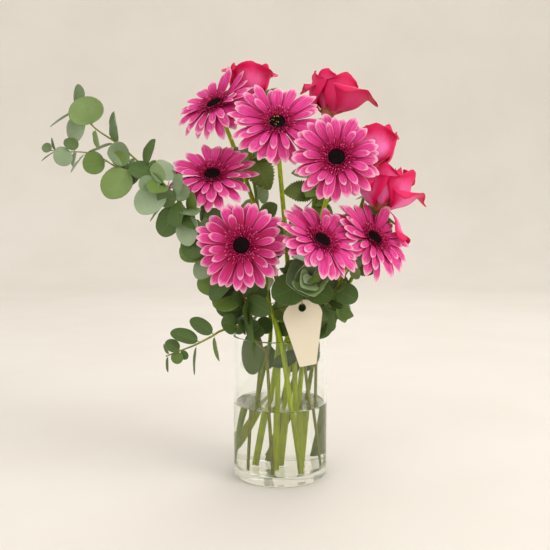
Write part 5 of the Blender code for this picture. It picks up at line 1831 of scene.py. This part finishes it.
class FLOWERS_OT_roses(bpy.types.Operator):
    """Wrap the petals of each rose round its bud"""

    bl_idname = "flowers.roses"
    bl_label = "Rose heads"

    def execute(self, context):
        chance = random.Random(SEED + 2)
        velvet = rose_petal_material(context.scene.rose_look)
        for number, flower in ROSES.items():
            axes = rose_frame(flower.facing)
            seat = mm(flower.middle)
            radius = flower.size * MM
            points, faces, values = [], [], []
            for heading, spread, levels, swirl, curl in petals_of(flower, chance):
                shade = flower.tone + PETAL_TONES * chance.random()
                for squeeze in PETAL_TRIES:
                    drawn = [levels[0]]
                    drawn += [(reach * squeeze, height) for reach, height in levels[1:]]
                    petal = rose_petal(
                        seat, axes, radius, heading, spread, drawn, swirl, curl * squeeze, shade
                    )
                    if room.clear(*petal_outline(petal[0]), f"rose_{number}_stalk"):
                        break
                start = len(points)
                points += petal[0]
                faces += [tuple(start + corner for corner in face) for face in petal[1]]
                values += petal[2]
            head = value_mesh(f"rose_{number}_petals", points, faces, values)
            head.data.materials.append(velvet)
            profile = [(a * radius, b * radius) for a, b in BUD_PROFILE]
            bud = turned_mesh("bud", profile, 20, velvet, seat, axes)
            head = joined(f"rose_{number}_petals", [head, bud])
            settled(head, "rose_red", f"rose_{number}_head")
            room.add(head)
        return {"FINISHED"}


def ray_line(
    root, way, out, length, raised, sag, width, outline, shade, bow=0.0, twist=0.0, cup=0.3
):
    """A ray or floret leaves the head raised and bends down along its length. It can bow to
    one side and twist about its own middle line too."""
    place = root.copy()
    fine = [(place.copy(), raised, way)]
    for step in range(RAY_FINE_STEPS):
        part = (step + 0.5) / RAY_FINE_STEPS
        angle = raised - sag * part
        now = turned(way, out, bow * (part - 0.5))
        place += (now * math.cos(angle) + out * math.sin(angle)) * (length / RAY_FINE_STEPS)
        fine.append((place.copy(), raised - sag * (step + 1) / RAY_FINE_STEPS, now))
    points = []
    uppers = []
    halves = []
    for share, part in outline:
        point, angle, now = fine[round(share * RAY_FINE_STEPS)]
        along = now * math.cos(angle) + out * math.sin(angle)
        upper = out * math.cos(angle) - now * math.sin(angle)
        points.append(point)
        uppers.append(turned(upper, along, twist * share))
        halves.append(part * width / 2)
    return Line(points, uppers, halves, shade, [share for share, part in outline], cup)


def clear_ray(root, way, out, length, raised, sag, width, form, own, others):
    """A ray bent or shortened by small steps until it is clear, or nothing."""
    for lift, fall, size in RAY_TRIES:
        angles = (math.radians(raised + lift), math.radians(sag + fall))
        line = ray_line(root, way, out, length * size, *angles, width, RAY_OUTLINE, *form)
        points, faces = strip(line, 3)
        if room.clear(points, faces, own, others):
            others.append(BVHTree.FromPolygons(points, faces))
            return line
    return None


class FLOWERS_OT_gerberas(bpy.types.Operator):
    """Open the gerbera heads: three layers of rays, the fringe of florets and the dark disc"""

    bl_idname = "flowers.gerberas"
    bl_label = "Gerbera heads"

    def execute(self, context):
        look = context.scene.gerbera_look
        chance = random.Random(SEED + 3)
        petal = ray_material(look)
        fringe = floret_material(look)
        plain = disc_material(look, 0.0)
        dusty = disc_material(look, 0.10)
        for number in HEAD_ORDER:
            flower = GERBERAS[number]
            seat, axes = mm(flower.middle), head_frame(flower.facing)
            rays = self.rays(look, number, flower, axes, chance)
            bloom = swept("rays", rays, petal, RAY_BLADE)
            florets = swept("florets", self.florets(seat, axes, chance), fringe, FLORET_BLADE)
            base = turned_mesh("base", BASE_PROFILE, 32, fringe, seat, axes)
            bloom = joined(f"gerbera_{number}_rays", [bloom, florets, base])
            settled(bloom, "gerbera_pink", f"gerbera_{number}_bloom")
            room.add(bloom)
            self.make_disc(number, seat, axes, dusty if number == DUSTY_HEAD else plain)
        return {"FINISHED"}

    def rays(self, look, number, flower, axes, chance):
        out, rise = axes[:2]
        spin = chance.uniform(0.0, math.pi)
        others = []
        rays = []
        for layer, (lift, foot, reach, share, breadth) in enumerate(RAY_LAYERS):
            count = round(look.rays * share)
            for place in range(count):
                angle = spin + 2 * math.pi * (place + 0.5 * layer) / count
                angle += math.radians(chance.uniform(-5.0, 5.0))
                way = around(axes, angle)
                high = layer == 2 and way.dot(rise) > SHORT_RAY_RISE
                if high and chance.random() > SHORT_RAY_CHANCE:
                    continue
                fall = max(0.0, -way.dot(rise)) * flower.droop
                raised = lift + chance.uniform(-4.0, 4.0) - fall * 0.5
                sag = RAY_SAG + chance.uniform(-6.0, 12.0) + fall
                length = (flower.radius * MM - RAY_ROOT) * reach * chance.uniform(0.84, 1.02)
                root = mm(flower.middle) + way * RAY_ROOT + out * foot
                width = look.ray_width * breadth * chance.uniform(0.84, 1.06)
                bow = math.radians(chance.uniform(-14.0, 14.0))
                twist = math.radians(chance.uniform(-16.0, 16.0))
                shade = flower.tone + RAY_TONES * chance.random()
                form = (shade, bow, twist, chance.uniform(-0.1, 0.36))
                own = f"gerbera_{number}_stalk"
                ray = clear_ray(root, way, out, length, raised, sag, width, form, own, others)
                if ray:
                    rays.append(ray)
        return rays

    def florets(self, seat, axes, chance):
        florets = []
        for count, inner, length, raised in FLORET_ROWS:
            for place in range(count):
                angle = 2 * math.pi * (place + chance.uniform(-0.35, 0.35)) / count
                way = around(axes, angle)
                root = seat + way * inner + axes[0] * (HEAD_HEIGHT - 0.5 * MM)
                raise_by = math.radians(raised + chance.uniform(-5.0, 5.0))
                florets.append(ray_line(
                    root, way, axes[0], length * chance.uniform(0.78, 1.10), raise_by,
                    FLORET_SAG, FLORET_WIDTH, FLORET_OUTLINE, chance.random(),
                ))
        return florets

    def make_disc(self, number, seat, axes, material):
        out, rise, right = axes
        foot = seat + out * (HEAD_HEIGHT - 0.1 * MM)
        profile = [(share * DISC_RADIUS, height * MM) for share, height in DOME_PROFILE]
        dome = turned_mesh("dome", profile, 28, material, foot, axes)
        buds = grown(
            new_object("buds", bpy.data.meshes.new("buds")), "spiral_buds", bud_tree,
            buds=DISC_BUDS, radius=DISC_RADIUS * 0.97, dome=1.9 * MM, bud_size=0.62 * MM,
            seed=SEED + number, material=material,
        )
        turn = Matrix((right, rise, out)).transposed().to_4x4()
        turn.translation = foot + out * 1.0 * MM
        buds.data.transform(turn)
        disc = joined(f"gerbera_{number}_middle", [buds, dome])
        settled(disc, "gerbera_dark", f"gerbera_{number}_disc")
        room.add(disc)


def dress_twig(name, look, chance, shades=(), bow=LEAF_BOW):
    """Set the leaves of one eucalyptus stem and join them to it."""
    sprig = EUCALYPTUS[name]
    bare = f"{name}_twig"
    waxy = bpy.data.materials.get("eucalyptus_leaf") or eucalyptus_material(look)
    above = twig_route(sprig)[1]
    lines = settled_leaves(above, sprig.leaves, "round", bare, chance, sprig.cup, shades, bow)
    lines += filling_leaves(name, above, "round", bare, chance)
    if name == SPRAY:
        lines += settled_leaves(arm_route(), ARM_LEAVES, "round", bare, chance, sprig.cup)
    blades = swept("blades", lines, waxy, ROUND_LEAF_BLADE)
    leafy = joined(f"{name}_leafy", [bpy.data.objects[bare], blades])
    settled(leafy, "eucalyptus_green", name)
    room.swap(bare, leafy)


class FLOWERS_OT_front_sprig(bpy.types.Operator):
    """Set the cupped leaves round the tip of the sprig in front, which the rays keep clear of"""

    bl_idname = "flowers.front_sprig"
    bl_label = "Front sprig"

    def execute(self, context):
        chance = random.Random(SEED + 6)
        dress_twig(FOREMOST, context.scene.eucalyptus_look, chance, FRONT_SHADES, FRONT_BOW)
        return {"FINISHED"}


class FLOWERS_OT_eucalyptus(bpy.types.Operator):
    """Set the round waxy leaves on the other eucalyptus stems"""

    bl_idname = "flowers.eucalyptus"
    bl_label = "Eucalyptus leaves"

    def execute(self, context):
        chance = random.Random(SEED + 4)
        for name in EUCALYPTUS:
            if name != FOREMOST:
                dress_twig(name, context.scene.eucalyptus_look, chance)
        return {"FINISHED"}


class FLOWERS_OT_rose_leaves(bpy.types.Operator):
    """Set the sepals and toothed leaflets on the rose stems"""

    bl_idname = "flowers.rose_leaves"
    bl_label = "Rose leaves"

    def execute(self, context):
        chance = random.Random(SEED + 5)
        leafy = rose_leaf_material(context.scene.rose_look)
        for number, flower in ROSES.items():
            axes = rose_frame(flower.facing)
            bare = f"rose_{number}_stalk"
            root = mm(flower.middle) - axes[0] * 3.2 * MM
            lines = []
            for sepal in range(SEPALS):
                way = around(axes, math.radians(flower.twist + 360.0 / SEPALS * sepal))
                entry = (way * 22.0 - axes[0] * 9.0, 7.0, 0.0)
                line = settled_leaf(root, entry, "round", bare, chance.random(), bow=0.22)
                if line:
                    last = len(line.halves)
                    line.halves = [
                        3.3 * MM * (1.0 - step / last) ** 0.8 + 0.1 * MM for step in range(last)
                    ]
                    lines.append(line)
            route = rose_route(number)
            lines += settled_leaves(route, ROSE_LEAVES[number], "toothed", bare, chance, 0.22)
            lines += filling_leaves(f"rose_{number}", route, "toothed", bare, chance)
            blades = swept("blades", lines, leafy, TOOTHED_LEAF_BLADE)
            stalk = joined(f"{bare}_leafy", [bpy.data.objects[bare], blades])
            settled(stalk, "rose_green", f"rose_{number}_stem")
            room.swap(bare, stalk)
        return {"FINISHED"}


class FLOWERS_OT_studio(bpy.types.Operator):
    """Set the plain floor, the soft lights and the camera"""

    bl_idname = "flowers.studio"
    bl_label = "Studio"

    def execute(self, context):
        look = context.scene.studio_look
        scene = context.scene
        flat, bend, wall = 2.2, 0.9, 1.9
        under = 0.2 * MM
        profile = [(flat * share, 0.0) for share in (0.1, 0.3, 0.6, 1.0)]
        profile += [
            (flat + bend * math.sin(turn), bend - bend * math.cos(turn))
            for turn in (math.pi / 2 * step / 12 for step in range(1, 13))
        ]
        profile += [(flat + bend, wall)]
        shape = bmesh.new()
        sides = 64
        rings = []
        for radius, height in profile:
            ring = []
            for side in range(sides):
                angle = 2 * math.pi * side / sides
                place = (radius * math.cos(angle), radius * math.sin(angle), height - under)
                ring.append(shape.verts.new(place))
            rings.append(ring)
        shape.faces.new(rings[0])
        for low, high in zip(rings, rings[1:]):
            for side in range(sides):
                after = (side + 1) % sides
                shape.faces.new((low[after], low[side], high[side], high[after]))
        for face in shape.faces:
            face.smooth = True
        mesh = bpy.data.meshes.new("studio_floor")
        shape.to_mesh(mesh)
        shape.free()
        floor = new_object("studio_floor", mesh)
        floor.data.materials.append(floor_material(look))

        for name, place, size, share, colour in LAMPS:
            data = bpy.data.lights.new(name, "AREA")
            data.shape = "DISK"
            data.size = size
            data.energy = look.key * share
            data.color = colour
            lamp = bpy.data.objects.new(name, data)
            lamp.location = place
            aim = LAMP_AIM - Vector(place)
            lamp.rotation_euler = aim.to_track_quat("-Z", "Y").to_euler()
            scene.collection.objects.link(lamp)

        world = bpy.data.worlds.new("studio_sky")
        world.use_nodes = True
        sky = world.node_tree.nodes["Background"]
        sky.inputs["Color"].default_value = SKY_COLOUR
        sky.inputs["Strength"].default_value = look.sky
        scene.world = world
        # The thick glass and the water turn light round inside many times over.
        scene.cycles.max_bounces = 40
        scene.cycles.transmission_bounces = 40
        scene.cycles.glossy_bounces = 24
        scene.cycles.diffuse_bounces = 6
        scene.view_settings.view_transform = "Standard"

        data = bpy.data.cameras.new("camera")
        data.lens = CAMERA_LENS
        data.clip_start = 0.01
        camera = bpy.data.objects.new("camera", data)
        camera.location = CAMERA_PLACE
        camera.rotation_euler = (math.radians(90.0 - CAMERA_TILT), 0.0, 0.0)
        scene.collection.objects.link(camera)
        scene.camera = camera
        return {"FINISHED"}


class FLOWERS_PT_panel(bpy.types.Panel):
    """Lists the pieces of the arrangement and their settings"""

    bl_idname = "FLOWERS_PT_panel"
    bl_label = "Flower arrangement"
    bl_space_type = "VIEW_3D"
    bl_region_type = "UI"
    bl_category = "Flowers"

    def draw(self, context):
        layout = self.layout
        for kind in STEPS:
            layout.operator(kind.bl_idname)
        for name in LOOKS:
            box = layout.box()
            group = getattr(context.scene, name)
            box.label(text=name.replace("_", " ").capitalize())
            for key in group.__annotations__:
                box.prop(group, key)


LOOKS = {
    "vase_look": VaseSettings,
    "gerbera_look": GerberaSettings,
    "rose_look": RoseSettings,
    "eucalyptus_look": EucalyptusSettings,
    "tag_look": TagSettings,
    "studio_look": StudioSettings,
}
STEPS = (
    FLOWERS_OT_vase,
    FLOWERS_OT_water,
    FLOWERS_OT_gerbera_stems,
    FLOWERS_OT_rose_stems,
    FLOWERS_OT_twigs,
    FLOWERS_OT_tag,
    FLOWERS_OT_twine,
    FLOWERS_OT_roses,
    FLOWERS_OT_front_sprig,
    FLOWERS_OT_gerberas,
    FLOWERS_OT_eucalyptus,
    FLOWERS_OT_rose_leaves,
    FLOWERS_OT_studio,
)


def register():
    for kind in (*LOOKS.values(), *STEPS, FLOWERS_PT_panel):
        bpy.utils.register_class(kind)
    for name, kind in LOOKS.items():
        setattr(bpy.types.Scene, name, PointerProperty(type=kind))


def unregister():
    for name in LOOKS:
        delattr(bpy.types.Scene, name)
    for kind in reversed((*LOOKS.values(), *STEPS, FLOWERS_PT_panel)):
        bpy.utils.unregister_class(kind)


def main():
    register()
    bpy.ops.flowers.vase()
    bpy.ops.flowers.water()
    bpy.ops.flowers.gerbera_stems()
    bpy.ops.flowers.rose_stems()
    bpy.ops.flowers.twigs()
    bpy.ops.flowers.tag()
    bpy.ops.flowers.twine()
    bpy.ops.flowers.roses()
    bpy.ops.flowers.front_sprig()
    bpy.ops.flowers.gerberas()
    bpy.ops.flowers.eucalyptus()
    bpy.ops.flowers.rose_leaves()
    bpy.ops.flowers.studio()


if __name__ == "__main__":
    main()
